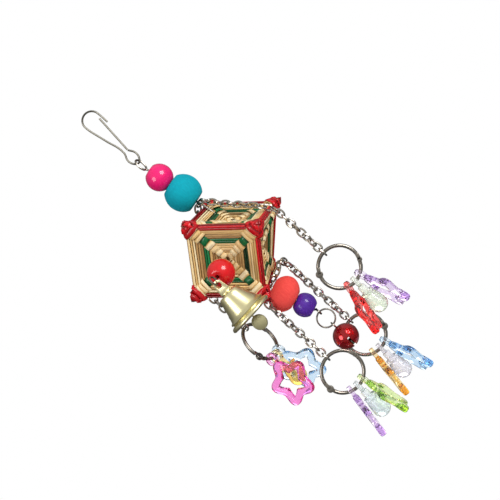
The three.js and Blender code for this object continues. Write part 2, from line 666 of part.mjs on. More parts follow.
function hingedRing(name, centre, reachAxis, hingeTurn) {
  const normal = reachAxis.clone().cross(UP);
  const at = (turn, radius = ringRadius) => along(
    along(centre, reachAxis, radius * Math.cos(radians(turn))), UP, radius * Math.sin(radians(turn)));
  const tabTurn = THREE.MathUtils.radToDeg((RING_TAB_RADIUS + GAP + 0.4) / ringRadius);
  const hingeOnLeft = hingeTurn > 90;
  const closeTurn = hingeTurn + (hingeOnLeft ? -180 : 180);
  const low = Math.min(hingeTurn, closeTurn);
  const high = Math.max(hingeTurn, closeTurn);
  const arc = (from, to) => {
    const points = [];
    const stretches = 8;
    for (let i = 0; i <= stretches; i += 1) points.push(at(from + ((to - from) * i) / stretches));
    return wire(points, RING_WIRE, stretches);
  };
  // A flattened end beside the other half's end
  const tab = (turn, side, towards) => {
    const middle = along(at(turn), normal, side * (GAP / 2 + tabHalf / 2));
    const face = along(middle, normal, tabHalf / 2);
    const disc = rod(along(face, normal, -tabHalf), face, RING_TAB_RADIUS, 8);
    const run = at(turn + towards * (tabTurn + 4)).sub(at(turn));
    const neck = block(along(middle, run, 0.5), run, normal, [run.length(), RING_WIRE, tabHalf]);
    return disc.add(neck);
  };
  const hinge = at(hingeTurn);
  const backFace = along(hinge, normal, -ringWireRadius);
  const rivet = rod(along(hinge, normal, GAP), along(backFace, normal, -2 * GAP), RING_RIVET / 2);
  const head = rod(along(backFace, normal, -GAP), along(backFace, normal, -2.5 * GAP), RING_RIVET_HEAD / 2);
  const rivetHole = rod(along(hinge, normal, 0), along(hinge, normal, -2 * RING_WIRE), RING_RIVET / 2 + GAP);
  const upper = join([arc(low + tabTurn, high - tabTurn), tab(low, 1, 1), tab(high, 1, -1), rivet, head]);
  const lower = join([arc(high + tabTurn, low + 360 - tabTurn), tab(high, -1, 1), tab(low, -1, -1)]);
  piece(`${name}_ring_upper`, upper, STEEL);
  piece(`${name}_ring_lower`, lower.subtract(rivetHole), STEEL);
  pivot(`${name}_ring`, at(90), reachAxis);
  pivot(`${name}_ring_open`, hinge, hingeOnLeft ? normal.clone().negate() : normal);
  return at;
}

// One charm on a ring: where it sits on the wire, how far it leans and how far it is turned
function charm(name, at, reachAxis, turn, lean, twist, shape, color) {
  const [leanSine, leanCosine] = [Math.sin(radians(lean)), Math.cos(radians(lean))];
  const down = reachAxis.clone().multiplyScalar(leanSine).addScaledVector(UP, -leanCosine);
  const normal = reachAxis.clone().multiplyScalar(leanCosine).addScaledVector(UP, leanSine);
  normal.applyAxisAngle(down, radians(twist));
  const holeCentre = along(at(turn), down, CHARM_HOLE / 2 - ringWireRadius - CHARM_HANG);
  const upward = down.clone().negate();
  const sideways = upward.clone().cross(normal);
  const place = new THREE.Matrix4().makeBasis(sideways, upward, normal).setPosition(holeCentre);
  piece(name, shape(place), acrylic(color));
  pivot(name, at(turn), normal);
}

const CHARM_TURNS = [-114, -90, -67];
const hangers = [
  {
    name: 'right', end: rightEnd, outward: across, links: 6, reach: RIGHT, hinge: 153,
    charms: [['red', -13, 16, 0xf03228], ['green', -1, 0, 0xd2ebc8], ['lilac', 12, -14, 0xd7aaf0]],
  },
  {
    name: 'left', end: leftEnd, outward: across.clone().negate(), links: 6,
    reach: point(Math.cos(radians(55)), Math.sin(radians(55)), 0), hinge: 204,
    charms: [['pink', -11, 0, 0xfa64c8], ['yellow', -1, 0, 0xebe6a0], ['sky', 11, 0, 0x96c8f5]],
  },
  {
    name: 'lower_right', end: lowerRightEnd, outward: awayFromBead(lowerRightEnd),
    links: 8, reach: RIGHT, hinge: -25,
    charms: [['orange', -9, 0, 0xffa51e], ['clear', -1, 0, 0xdcc8f5], ['blue', 12, -14, 0x82bef5]],
  },
  {
    name: 'lower_left', end: lowerLeftEnd, outward: awayFromBead(lowerLeftEnd),
    links: 6, reach: RIGHT, hinge: 187,
    charms: [['violet', -11, 0, 0xd7aaf0], ['aqua', -1, 0, 0xc8ebf0], ['lime', 9, 8, 0xbeeb50]],
  },
];
for (const { name, end, outward, links, reach, hinge, charms } of hangers) {
  const start = along(end, UP, looseStep);
  const joints = [];
  for (let i = 0; i <= links; i += 1) joints.push(along(start, UP, -i * linkStep));
  const ringWay = UP.clone().cross(reach);
  const widthOf = (i) => {
    if (i === 0) return outward;
    if (i === links - 1) return ringWay;
    return outward.clone().applyAxisAngle(UP, radians(i % 2 === 0 ? LINK_TWIST : -LINK_TWIST));
  };
  piece(`${name}_chain`, chainRun(joints, widthOf), STEEL);
  pivot(`${name}_chain`, along(end, UP, -linkGrip), outward.clone().cross(UP));
  const ringTop = along(joints[links], UP, -linkGrip + CHAIN_WIRE / 2 + ringWireRadius + GAP);
  const at = hingedRing(name, along(ringTop, UP, -ringRadius), reach, hinge);
  charms.forEach(([color, lean, twist, hex], i) => {
    const shape = i === 1 ? bulbCharm : starCharm;
    charm(`${color}_${i === 1 ? 'bulb' : 'star'}`, at, reach, CHARM_TURNS[i], lean, twist, shape, hex);
  });
}

// Brass bell on its hanger strip, with a flat clapper on a wire

const tabHoleRadius = TAB_HOLE / 2;
const eyeFoot = along(bellEyeCentre, UP, -BELL_EYE_LENGTH / 2);
const tabHoleCentre = along(eyeFoot, UP, -tabHoleRadius + bellWireRadius + GAP);
const crown = along(tabHoleCentre, UP, -TAB_LENGTH + tabHoleRadius + 1.4);
const crownHole = TAB_THICKNESS + 1.4;
const bellAt = (height) => along(crown, UP, height);
const rimRadius = BELL_RIM_WIDTH / 2;
const crownRadius = BELL_CROWN_WIDTH / 2;
const bellOuter = [
  [crownHole, 0], [crownRadius - 1.2, 0], [crownRadius, -1.2],
  [crownRadius + 0.3 * (rimRadius - crownRadius), -0.4 * BELL_HEIGHT],
  [crownRadius + 0.66 * (rimRadius - crownRadius), -0.76 * BELL_HEIGHT],
  [crownRadius + 0.85 * (rimRadius - crownRadius), -0.84 * BELL_HEIGHT],
  [rimRadius - 0.9, -0.9 * BELL_HEIGHT], [rimRadius, -0.95 * BELL_HEIGHT], [rimRadius - 0.3, -BELL_HEIGHT],
];
const bellInner = [
  [rimRadius - BELL_WALL - 0.5, -BELL_HEIGHT], [rimRadius - BELL_WALL - 1.4, -0.9 * BELL_HEIGHT],
  [crownRadius + 0.62 * (rimRadius - crownRadius) - BELL_WALL, -0.76 * BELL_HEIGHT],
  [crownRadius + 0.3 * (rimRadius - crownRadius) - BELL_WALL, -0.4 * BELL_HEIGHT],
  [crownRadius - BELL_WALL, -1.2 - BELL_WALL], [crownRadius - 1.2, -BELL_WALL], [crownHole, -BELL_WALL],
  [crownHole, 0],
];
piece('bell_shell', turned([...bellOuter, ...bellInner].reverse(), crown, UP, 16), BRASS);

const stripTop = along(tabHoleCentre, UP, tabHoleRadius + 1.4);
const innerEyeRadius = 1.8;
const innerEyeCentre = bellAt(-BELL_WALL - 2.6 - innerEyeRadius);
const stripFoot = along(innerEyeCentre, UP, innerEyeRadius);
const flange = rod(bellAt(GAP + 0.7), bellAt(GAP), crownHole + 1.2, 12);
const washer = rod(bellAt(-BELL_WALL - GAP), bellAt(-BELL_WALL - GAP - 0.7), crownHole + 1.2, 12);
const neck = rod(bellAt(GAP + 0.3), bellAt(-BELL_WALL - GAP - 0.3), crownHole - GAP, 8);
const stripLength = stripTop.distanceTo(bellAt(GAP));
const strip = block(lerp(stripTop, bellAt(GAP), 0.5), UP, front, [stripLength, TAB_WIDTH, TAB_THICKNESS]);
const stem = rod(bellAt(-BELL_WALL - GAP - 0.3), along(stripFoot, UP, -0.3), 0.8, 8);
const innerEye = ovalRing(innerEyeCentre, UP, front, 2 * innerEyeRadius, 2 * innerEyeRadius, CLAPPER_WIRE);
const stripHole = rod(along(tabHoleCentre, front, 2), along(tabHoleCentre, front, -2), tabHoleRadius, 12);
piece('bell_hanger', cut(join([strip, flange, neck, washer, stem, innerEye]), [stripHole]), BRASS);
pivot('bell', eyeFoot, front);

const clapperTop = along(innerEyeCentre, UP, -innerEyeRadius + CLAPPER_WIRE + GAP);
const clapperLoop = ovalRing(along(clapperTop, UP, -1.7), UP, across, 3.4, 3, CLAPPER_WIRE);
const discCentre = bellAt(-BELL_HEIGHT - CLAPPER_DROP);
const discTop = along(discCentre, UP, CLAPPER_DISC / 2 - 0.5);
const clapperWire = rod(along(clapperTop, UP, -3.4), discTop, CLAPPER_WIRE / 2);
const discBack = along(discCentre, front, -CLAPPER_DISC_THICKNESS / 2);
const disc = rod(discBack, along(discBack, front, CLAPPER_DISC_THICKNESS), CLAPPER_DISC / 2, ROUND_STEPS);
const clapperLook = { color: 0x7d7850, roughness: 0.45, metalness: 1 };
piece('bell_clapper', join([clapperLoop, clapperWire, disc]), clapperLook);
pivot('clapper', clapperTop, across);

// Split ring, a coil of two turns, and the jingle bell with its loose pellet

const lowerEyeFoot = along(lowerEyeTop, UP, -LOWER_EYE_LENGTH);
const splitTop = along(lowerEyeFoot, UP, mainRadius + SPLIT_WIRE / 2 + GAP);
const coilDrift = (turns) => (turns - SPLIT_TURNS / 2) * SPLIT_PITCH;
// Both turns rest on the wire's eye at a quarter turn, and carry the bell at three quarters
const splitCentre = along(along(splitTop, UP, -SPLIT_RADIUS), AWAY, -coilDrift(0.75));
const coil = [];
const coilSteps = 16;
for (let i = 0; i <= SPLIT_TURNS * coilSteps; i += 1) {
  const turn = (2 * Math.PI * i) / coilSteps;
  const round = point(SPLIT_RADIUS * Math.cos(turn), coilDrift(i / coilSteps), SPLIT_RADIUS * Math.sin(turn));
  coil.push(splitCentre.clone().add(round));
}
let coilGap = Infinity;
coil.forEach((place, i) => coil.slice(i + coilSteps / 2).forEach((other) => {
  coilGap = Math.min(coilGap, place.distanceTo(other) - SPLIT_WIRE);
}));
console.log(`split ring: least gap between turns ${coilGap.toFixed(2)} mm`);
piece('split_ring', wire(coil, SPLIT_WIRE, SPLIT_TURNS * coilSteps), STEEL);
pivot('split_ring', splitTop, RIGHT);

const splitFoot = along(along(splitCentre, UP, -SPLIT_RADIUS), AWAY, coilDrift(1.25));
const jingleLoopTop = along(splitFoot, UP, (SPLIT_WIRE + JINGLE_LOOP_WIRE) / 2 + GAP);
const jingleRadius = JINGLE_WIDTH / 2;
const jingleCentre = along(jingleLoopTop, UP, -JINGLE_LOOP_LENGTH - jingleRadius + JINGLE_LOOP_WIRE / 2);
const jingleInside = jingleRadius - JINGLE_WALL;
const slit = (way) => block(along(jingleCentre, UP, -jingleRadius / 2 - 0.6), way, UP,
  [2 * JINGLE_WIDTH, JINGLE_SLIT, jingleRadius]);
const jingleHollow = [ball(jingleCentre, jingleInside, JINGLE_STEPS), slit(RIGHT), slit(AWAY)];
const jingleShell = cut(ball(jingleCentre, jingleRadius, JINGLE_STEPS), jingleHollow);
const jingleLoopCentre = along(jingleLoopTop, UP, -JINGLE_LOOP_LENGTH / 2);
const jingleLoop = ovalRing(
  jingleLoopCentre, UP, AWAY, JINGLE_LOOP_LENGTH, JINGLE_LOOP_WIDTH, JINGLE_LOOP_WIRE);
piece('jingle_bell', jingleShell.add(jingleLoop), { color: 0xbe0a14, roughness: 0.2, metalness: 0.8 });
pivot('jingle_bell', jingleLoopTop, AWAY);

const pelletRadius = PELLET_WIDTH / 2;
const pelletCentre = along(jingleCentre, UP, -jingleInside + pelletRadius + 2 * GAP);
piece('jingle_pellet', ball(pelletCentre, pelletRadius, 8), STEEL);
pivot('pellet', pelletCentre, UP);

toy.userData.pivots = pivots;
export default toy;
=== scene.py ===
import json
import random
from itertools import product
from math import acos, atan2, copysign, cos, degrees, hypot, pi, radians, sin, sqrt, tan

import bpy
from mathutils import Matrix, Vector


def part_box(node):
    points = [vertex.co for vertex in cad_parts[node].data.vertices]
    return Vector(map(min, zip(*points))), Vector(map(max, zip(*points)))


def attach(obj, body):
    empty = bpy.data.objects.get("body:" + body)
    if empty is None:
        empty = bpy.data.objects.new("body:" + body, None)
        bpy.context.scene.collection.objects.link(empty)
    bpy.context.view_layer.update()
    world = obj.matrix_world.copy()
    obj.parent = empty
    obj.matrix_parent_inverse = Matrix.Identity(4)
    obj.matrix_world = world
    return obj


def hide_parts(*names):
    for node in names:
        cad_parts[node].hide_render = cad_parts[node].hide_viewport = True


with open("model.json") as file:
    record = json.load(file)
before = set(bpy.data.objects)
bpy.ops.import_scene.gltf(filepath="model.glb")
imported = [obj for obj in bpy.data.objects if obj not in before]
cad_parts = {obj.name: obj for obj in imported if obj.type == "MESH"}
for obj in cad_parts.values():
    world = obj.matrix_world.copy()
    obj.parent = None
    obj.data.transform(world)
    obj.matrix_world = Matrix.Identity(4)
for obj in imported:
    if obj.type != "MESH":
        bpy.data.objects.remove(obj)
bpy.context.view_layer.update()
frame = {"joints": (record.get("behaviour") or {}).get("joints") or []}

# The set: the toy hangs in front of white paper and is taken from straight in front, with the camera
# rolled so that the toy runs from the upper left to the lower right. A pale floor lies well below it;
# the main soft light stands above the camera, with weaker ones at its sides and behind the toy.
MM = 0.001
UP = Vector((0, 0, 1))
aim = Vector((5.4, 0, -116.9)) * MM
picture_right = Vector((0.669, 0, -0.743)).normalized()
picture_up = Vector((0.743, 0, 0.669)).normalized()
towards = picture_right.cross(picture_up)
picture_side = 275 * MM
camera_distance = 0.7
sensor_width = 36
floor_radius = 0.5
floor_height = -0.45


def fresh(name, add, **settings):
    """A new object to model from, made with nothing else selected."""
    bpy.ops.object.select_all(action="DESELECT")
    add(**settings)
    bpy.context.object.name = name
    return bpy.context.object


def placing(place, x_axis, y_axis, z_axis):
    """The matrix that sets a thing at a place, its own axes along these."""
    return Matrix.Translation(place) @ Matrix((x_axis, y_axis, z_axis)).transposed().to_4x4()


camera = fresh("camera", bpy.ops.object.camera_add)
camera.data.sensor_width = sensor_width
camera.data.lens = sensor_width * camera_distance / picture_side
camera.data.clip_start = 0.01
camera.matrix_world = placing(aim + towards * camera_distance, picture_right, picture_up, towards)
bpy.context.scene.camera = camera
bpy.context.scene.view_settings.view_transform = "Standard"


def rgb(red, green, blue):
    """A colour given from 0 to 255, as the renderer's own linear values."""
    shares = [channel / 255 for channel in (red, green, blue)]
    return [c / 12.92 if c < 0.04045 else ((c + 0.055) / 1.055) ** 2.4 for c in shares] + [1]


def set_inputs(node, values):
    """A node with the values of its inputs set."""
    for socket, value in values.items():
        node.inputs[socket].default_value = value
    return node


def new_material(name, values):
    """A material with some of its shader's values set."""
    material = bpy.data.materials.new(name)
    material.use_nodes = True
    set_inputs(material.node_tree.nodes["Principled BSDF"], values)
    return material


floor = fresh("floor", bpy.ops.mesh.primitive_circle_add, vertices=64, radius=floor_radius,
              fill_type="NGON", location=(0, 0, floor_height))
floor_paint = new_material("pale_floor", {"Base Color": rgb(240, 240, 238), "Roughness": 0.9})
floor.data.materials.append(floor_paint)
floor.visible_glossy = False

# Each lamp: place to the right, above and in front of the aim, width in metres and power in watts
lamps = {
    "key_lamp": ((0.28, 0.66, 0.68), 0.55, 6.8),
    "side_lamp": ((-0.66, -0.2, 0.6), 0.5, 2.7),
    "low_lamp": ((0.5, -0.5, 0.7), 0.6, 0.8),
    "back_lamp": ((0.1, 0.5, -0.9), 0.8, 3.5),
}
for name, (place, width, power) in lamps.items():
    lamp = fresh(name, bpy.ops.object.light_add, type="AREA")
    lamp.data.shape = "DISK"
    lamp.data.size = width
    lamp.data.energy = power
    way = picture_right * place[0] + picture_up * place[1] + towards * place[2]
    lamp.matrix_world = Matrix.Translation(aim + way) @ way.to_track_quat("Z", "Y").to_matrix().to_4x4()
    lamp.visible_glossy = name in ("key_lamp", "side_lamp")


def add_node(tree, kind, values=None, **settings):
    """A new shader node with its settings and the values of its inputs."""
    node = tree.nodes.new("ShaderNode" + kind)
    for setting, value in settings.items():
        setattr(node, setting, value)
    return set_inputs(node, values or {})


def connect(tree, *joins):
    """Links, each from a node's output to a node's input."""
    for source, output, target, socket in joins:
        tree.links.new(source.outputs[output], target.inputs[socket])


# What the camera and clear plastic see is white; what lights the toy is brighter in front and above
bright_way = (towards * 0.6 + picture_up * 0.7 - picture_right * 0.35).normalized()
room_shades = [(0.0, 0.12), (0.36, 0.2), (0.5, 0.5), (0.6, 0.42), (0.8, 0.95), (1.0, 1.0)]
room_warmth = 0.98
room_strength = 0.62
world = bpy.data.worlds.new("paper_and_room")
bpy.context.scene.world = world
world.use_nodes = True
tree = world.node_tree
tree.nodes.clear()
room_way = add_node(tree, "TexCoord")
room_side = add_node(tree, "VectorMath", {1: bright_way}, operation="DOT_PRODUCT")
room_range = add_node(tree, "MapRange", {"From Min": -1})
room_ramp = add_node(tree, "ValToRGB")
while len(room_ramp.color_ramp.elements) < len(room_shades):
    room_ramp.color_ramp.elements.new(0.5)
for element, (place, shade) in zip(room_ramp.color_ramp.elements, room_shades):
    element.position = place
    element.color = (shade, shade, shade * room_warmth, 1)
room_light = add_node(tree, "Background", {"Strength": room_strength})
paper = add_node(tree, "Background", {"Color": (1, 1, 1, 1)})
rays = add_node(tree, "LightPath")
either = add_node(tree, "Math", operation="MAXIMUM")
choose = add_node(tree, "MixShader")
world_output = add_node(tree, "OutputWorld")
connect(
    tree,
    (room_way, "Generated", room_side, 0),
    (room_side, "Value", room_range, "Value"),
    (room_range, "Result", room_ramp, "Fac"),
    (room_ramp, "Color", room_light, "Color"),
    (rays, "Is Camera Ray", either, 0),
    (rays, "Is Transmission Ray", either, 1),
    (either, "Value", choose, "Fac"),
    (room_light, "Background", choose, 1),
    (paper, "Background", choose, 2),
    (choose, "Shader", world_output, "Surface"),
)

# Spring wire clip: one nickel-plated steel wire bent into a bow, a back and a lower loop, with the
# gate wire springing against the inside of the bow's end. Drawn round wire, cut square.
clip_wire = 1.1 * MM
bow_radius = 5.2 * MM
bow_tail = 6.8 * MM
bow_flare = 0.1 * MM
waist_width = 2.6 * MM
waist_height = -29.6 * MM
loop_width = 6.2 * MM
loop_length = 9.8 * MM
gate_drop = 2.3 * MM
gate_play = 0.4 * MM
gate_root = 0.3 * MM
bow_height = clip_wire / 2 - bow_radius


def noise_group(name, noises):
    """Noises from 0 to 1, each with its coordinates, stretch, slant, detail and roughness."""
    group = bpy.data.node_groups.new(name, "ShaderNodeTree")
    for socket in noises:
        group.interface.new_socket(socket, in_out="OUTPUT", socket_type="NodeSocketFloat")
    output = group.nodes.new("NodeGroupOutput")
    place = add_node(group, "TexCoord")
    for socket, (coordinates, stretch, slant, detail, roughness) in noises.items():
        mapping = add_node(group, "Mapping", {"Scale": stretch, "Rotation": (0, radians(slant), 0)})
        noise = add_node(group, "TexNoise", {"Scale": 1, "Detail": detail, "Roughness": roughness})
        connect(group, (place, coordinates, mapping, "Vector"), (mapping, "Vector", noise, "Vector"))
        connect(group, (noise, "Fac", output, socket))
    return group


uneven = noise_group("uneven", {
    "Patches": ("Object", (130, 130, 130), 0, 3, 0.5),
    "Specks": ("Object", (2600, 2600, 2600), 0, 2, 0.5),
})


def surface(name, colour, dark, roughness, spread, metallic=0.0, coat=0.0):
    """A material whose colour and roughness vary a little over the piece."""
    finish = {"Metallic": metallic, "Coat Weight": coat, "Coat Roughness": 0.06}
    material = new_material(name, finish)
    tree = material.node_tree
    shader = tree.nodes["Principled BSDF"]
    patches = add_node(tree, "Group", node_tree=uneven)
    tint = add_node(tree, "Mix", {"A": dark, "B": colour}, data_type="RGBA")
    polish = add_node(tree, "MapRange", {"To Min": roughness - spread, "To Max": roughness + spread})
    connect(
        tree,
        (patches, "Patches", tint, "Factor"),
        (tint, "Result", shader, "Base Color"),
        (patches, "Specks", polish, "Value"),
        (polish, "Result", shader, "Roughness"),
    )
    return material


def pick(*objects):
    """Select these objects only, the first of them active."""
    bpy.ops.object.select_all(action="DESELECT")
    for obj in objects:
        obj.select_set(True)
    bpy.context.view_layer.objects.active = objects[0]


def tidy(obj, angle=40, weld=0.005 * MM):
    """Merge doubled points, turn the normals outwards and smooth all but the sharp edges."""
    pick(obj)
    bpy.ops.object.mode_set(mode="EDIT")
    bpy.ops.mesh.select_all(action="SELECT")
    bpy.ops.mesh.remove_doubles(threshold=weld)
    bpy.ops.mesh.normals_make_consistent(inside=False)
    bpy.ops.object.mode_set(mode="OBJECT")
    bpy.ops.object.shade_smooth_by_angle(angle=radians(angle))
    return obj


def bent_wire(name, points, thickness, closed=False, sides=2, steps=6):
    """A round wire bent smoothly through points."""
    curve = fresh(name, bpy.ops.curve.primitive_bezier_curve_add).data
    curve.splines.clear()
    spline = curve.splines.new("BEZIER")
    spline.bezier_points.add(len(points) - 1)
    for knot, place in zip(spline.bezier_points, points):
        knot.co = place
        knot.handle_left_type = knot.handle_right_type = "AUTO"
    spline.use_cyclic_u = closed
    curve.resolution_u = steps
    curve.bevel_depth = thickness / 2
    curve.bevel_resolution = sides
    curve.use_fill_caps = not closed
    bpy.ops.object.convert(target="MESH")
    return tidy(bpy.context.object)


def put(obj, material, slot, body, *nodes):
    """Give a piece its material, set it on its body and let it stand for its nodes; the slot is not used.
    """
    obj.data.materials.clear()
    obj.data.materials.append(material)
    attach(obj, body)
    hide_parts(*nodes)
    return obj


steel = surface("nickel_plate", rgb(176, 170, 160), rgb(120, 113, 104), 0.25, 0.06, metallic=1)
# The clip gets a darker, rougher copy of the nickel plate: its darker colour is painted shade against the
# lamps' bright reflections
shaded_clip_steel = surface("clip_plate_painted_shade", rgb(124, 121, 112), rgb(88, 85, 77), 0.42, 0.08, metallic=1)

clip_points = [Vector((bow_radius + bow_flare, 0, bow_height - drop)) for drop in (bow_tail, gate_drop)]
for step in range(0, 181, 20):
    sweep = radians(step)
    clip_points.append(Vector((bow_radius * cos(sweep), 0, bow_height + bow_radius * sin(sweep))))
clip_points += [
    Vector((-(bow_radius + waist_width / 2) / 2, 0, (bow_height + waist_height) / 2)),
    Vector((-waist_width / 2, 0, waist_height)),
]
# The lower loop: shares of its width aside and of its length down
for aside, down in ((-0.5, 0.5), (-0.25, 0.92), (0, 1), (0.25, 0.92), (0.5, 0.5)):
    clip_points.append(Vector((aside * loop_width, 0, waist_height - down * loop_length)))
clip_points.append(Vector((waist_width / 2, 0, waist_height - 2 * gate_root)))
clip = bent_wire("clip", clip_points, clip_wire)
put(clip, shaded_clip_steel, "nickel_steel", "clip", "clip_body")

gate_foot = Vector((waist_width / 2, 0, waist_height - gate_root))
gate_tip = Vector((bow_radius - clip_wire - gate_play, 0, bow_height - gate_drop))
gate = bent_wire("gate", [gate_foot, gate_foot.lerp(gate_tip, 0.5), gate_tip], clip_wire)
put(gate, shaded_clip_steel, "nickel_steel", "gate", "clip_gate")

# Main wire: one thick steel wire that carries the beads and the cube. Its upper end is bent round into
# a long eye in the clip's loop, its lower end into a small eye for the split ring.
main_wire = 1.2 * MM
eye_turn = radians(40)
top_eye_length, top_eye_width = 7.4 * MM, 4.4 * MM
top_eye_hang = 6.8 * MM
lower_eye_length, lower_eye_width = 3.6 * MM, 5.8 * MM
hinges = [entry for entry in frame["joints"] if "pos_m" in entry]
joint_place = {entry["name"]: Vector(entry["pos_m"]) for entry in hinges}
joint_axis = {entry["name"]: Vector(entry["axis"]).normalized() for entry in hinges}
cube_centre = Vector((1, -7.6, -110.4)) * MM
cube_half = 20 * MM
cube_yaw = radians(26)
cube_roll = radians(44)
across = Vector((cos(cube_yaw), -sin(cube_yaw), 0))
front = Vector((-sin(cube_yaw), -cos(cube_yaw), 0))
pink_place, pink_axis = joint_place["pink_bead_spin"], joint_axis["pink_bead_spin"]
turquoise_place = joint_place["turquoise_bead_spin"]
coral_place, coral_axis = joint_place["coral_bead_spin"], joint_axis["coral_bead_spin"]
violet_place = joint_place["violet_bead_spin"]


def in_cube(sideways, height, forward):
    """A place in millimetres across, above and in front of the cube's middle."""
    return cube_centre + (across * sideways + UP * height + front * forward) * MM


def around(centre, first, second, steps=14):
    """Places round an oval, given its middle and two half axes, from the end of the first."""
    sweeps = [2 * pi * step / steps for step in range(steps)]
    return [centre + first * cos(sweep) + second * sin(sweep) for sweep in sweeps]


def eye_points(foot, side, length, width):
    """Points round an upright eye of wire, from its foot and back to it."""
    eye = around(foot + UP * (length / 2), UP * (-length / 2), side * (width / 2))
    return eye + eye[:1]


top_eye_foot = joint_place["wire_swing"] - UP * top_eye_hang
lower_eye_top = Vector((joint_place["split_ring_swing"].x, -3.53 * MM, -165.49 * MM))
behind = Vector((0, 1, 0))
eye_side = Vector((sin(eye_turn), cos(eye_turn), 0))
turquoise_foot = turquoise_place + pink_axis * 8.5 * MM
wire_entry = in_cube(2.45, 28.28, -8)
wire_exit = in_cube(-4.5, -25.28, -4)
coral_top = coral_place - coral_axis * 7.2 * MM
wire_points = eye_points(top_eye_foot, eye_side, top_eye_length, top_eye_width)
wire_points += [
    pink_place - pink_axis * 6.8 * MM,
    pink_place,
    turquoise_place,
    turquoise_foot,
    wire_entry,
    in_cube(2.75, 14.1, -8),
    in_cube(-3.05, -5.7, -4.8),
    wire_exit,
    coral_top,
    coral_place,
    violet_place,
    violet_place + coral_axis * 5.5 * MM,
    lower_eye_top,
]
wire_points += eye_points(lower_eye_top, behind, -lower_eye_length, lower_eye_width)[1:]
main = bent_wire("main_wire_bent", wire_points, main_wire, steps=4)
put(main, steel, "nickel_steel", "wire", "main_wire")

# Wooden beads: turned balls with flat ends and a drilled hole. The pink, violet and red ones are dipped
# in gloss paint, the turquoise and coral ones stained matte so that the fine grain still shows.
bead_slack = 0.5 * MM
bead_lip = 0.7 * MM
bell_wire = 1.0 * MM
pole = 0.02 * MM
grain = noise_group("grain", {"Grain": ("Object", (1700, 1700, 170), 10, 4, 0.6)})


def painted_wood(name, colour, dark, roughness, coat, depth):
    """Painted or stained wood: the grain shows in the colour and as a slight relief."""
    material = surface(name, colour, dark, roughness, 0.06, coat=coat)
    tree = material.node_tree
    shader = set_inputs(tree.nodes["Principled BSDF"], {"Specular IOR Level": 0.2})
    streaks = add_node(tree, "Group", node_tree=grain)
    tint = next(node for node in tree.nodes if node.bl_idname == "ShaderNodeMix")
    contrast = add_node(tree, "Math", {1: 1.6, 2: -0.2}, operation="MULTIPLY_ADD")
    relief = add_node(tree, "Bump", {"Strength": depth, "Distance": 0.1 * MM})
    connect(
        tree,
        (streaks, "Grain", contrast, 0),
        (contrast, "Value", tint, "Factor"),
        (streaks, "Grain", relief, "Height"),
        (relief, "Normal", shader, "Normal"),
    )
    return material


def turned(name, outline, place, axis, steps=48, angle=40):
    """A round body: a circle drawn out and scaled ring by ring along its axis."""
    obj = fresh(name, bpy.ops.mesh.primitive_circle_add, vertices=steps, radius=outline[0][0])
    bpy.ops.object.mode_set(mode="EDIT")
    bpy.ops.mesh.select_all(action="SELECT")
    bpy.ops.transform.translate(value=(0, 0, outline[0][1]))
    for (width, height), (next_width, next_height) in zip(outline, outline[1:]):
        bpy.ops.mesh.extrude_region_move(TRANSFORM_OT_translate={"value": (0, 0, next_height - height)})
        share = next_width / width
        bpy.ops.transform.resize(value=(share, share, 1), center_override=(0, 0, next_height))
    bpy.ops.mesh.select_mode(type="VERT")
    bpy.ops.mesh.select_all(action="DESELECT")
    bpy.ops.object.mode_set(mode="OBJECT")
    for vertex in obj.data.vertices:
        vertex.select = hypot(vertex.co.x, vertex.co.y) < 1.5 * pole
    bpy.ops.object.mode_set(mode="EDIT")
    bpy.ops.mesh.remove_doubles(threshold=5 * pole)
    bpy.ops.object.mode_set(mode="OBJECT")
    obj.data.transform(Matrix.Translation(place) @ axis.to_track_quat("Z", "X").to_matrix().to_4x4())
    return tidy(obj, angle)


def bead_outline(width, length, flat, hole, rounds=18):
    """Half the section of a bead, round its hole, its lip and its ball."""
    radius, half, lip = width / 2, length / 2, bead_lip
    end = acos(flat / width)
    depth = half / sin(end)
    end -= 0.3 * lip / radius
    rim = radius * cos(end)
    top = [(hole, half - lip), (hole + 0.3 * lip, half - 0.25 * lip), (hole + lip, half),
           (rim - lip, half), (rim - 0.35 * lip, half - 0.08 * lip)]
    outline = [(hole, lip - half)] + top
    for step in range(rounds + 1):
        sweep = end - 2 * end * step / rounds
        outline.append((radius * cos(sweep), depth * sin(sweep)))
    return outline + [(out, -height) for out, height in reversed(top)]


# Each bead: width, length, flat end, wire, colour, darker grain, roughness, coat and depth of the grain
beads = {
    "pink": (15.4, 13.6, 7.22, main_wire, rgb(246, 16, 120), rgb(222, 6, 94), 0.3, 0.9, 0.1),
    "turquoise": (21, 17, 12.33, main_wire, rgb(0, 168, 186), rgb(0, 138, 158), 0.8, 0, 0.25),
    "coral": (20.7, 14.4, 10, main_wire, rgb(246, 88, 80), rgb(228, 62, 60), 0.8, 0, 0.25),
    "violet": (13.5, 11, 7.83, main_wire, rgb(92, 44, 172), rgb(64, 26, 134), 0.32, 0.6, 0.15),
    "red": (15, 13.4, 6.74, bell_wire, rgb(222, 14, 24), rgb(196, 8, 16), 0.25, 0.9, 0.04),
}
for name, (width, length, flat, wire, colour, dark, roughness, coat, depth) in beads.items():
    outline = bead_outline(width * MM, length * MM, flat * MM, wire / 2 + bead_slack)
    body = name + "_bead"
    bead = turned(body + "_wood", outline, joint_place[body + "_spin"], joint_axis[body + "_spin"])
    wood = painted_wood(name + "_paint", colour, dark, roughness, coat, depth)
    put(bead, wood, body + "_wood", body, body)

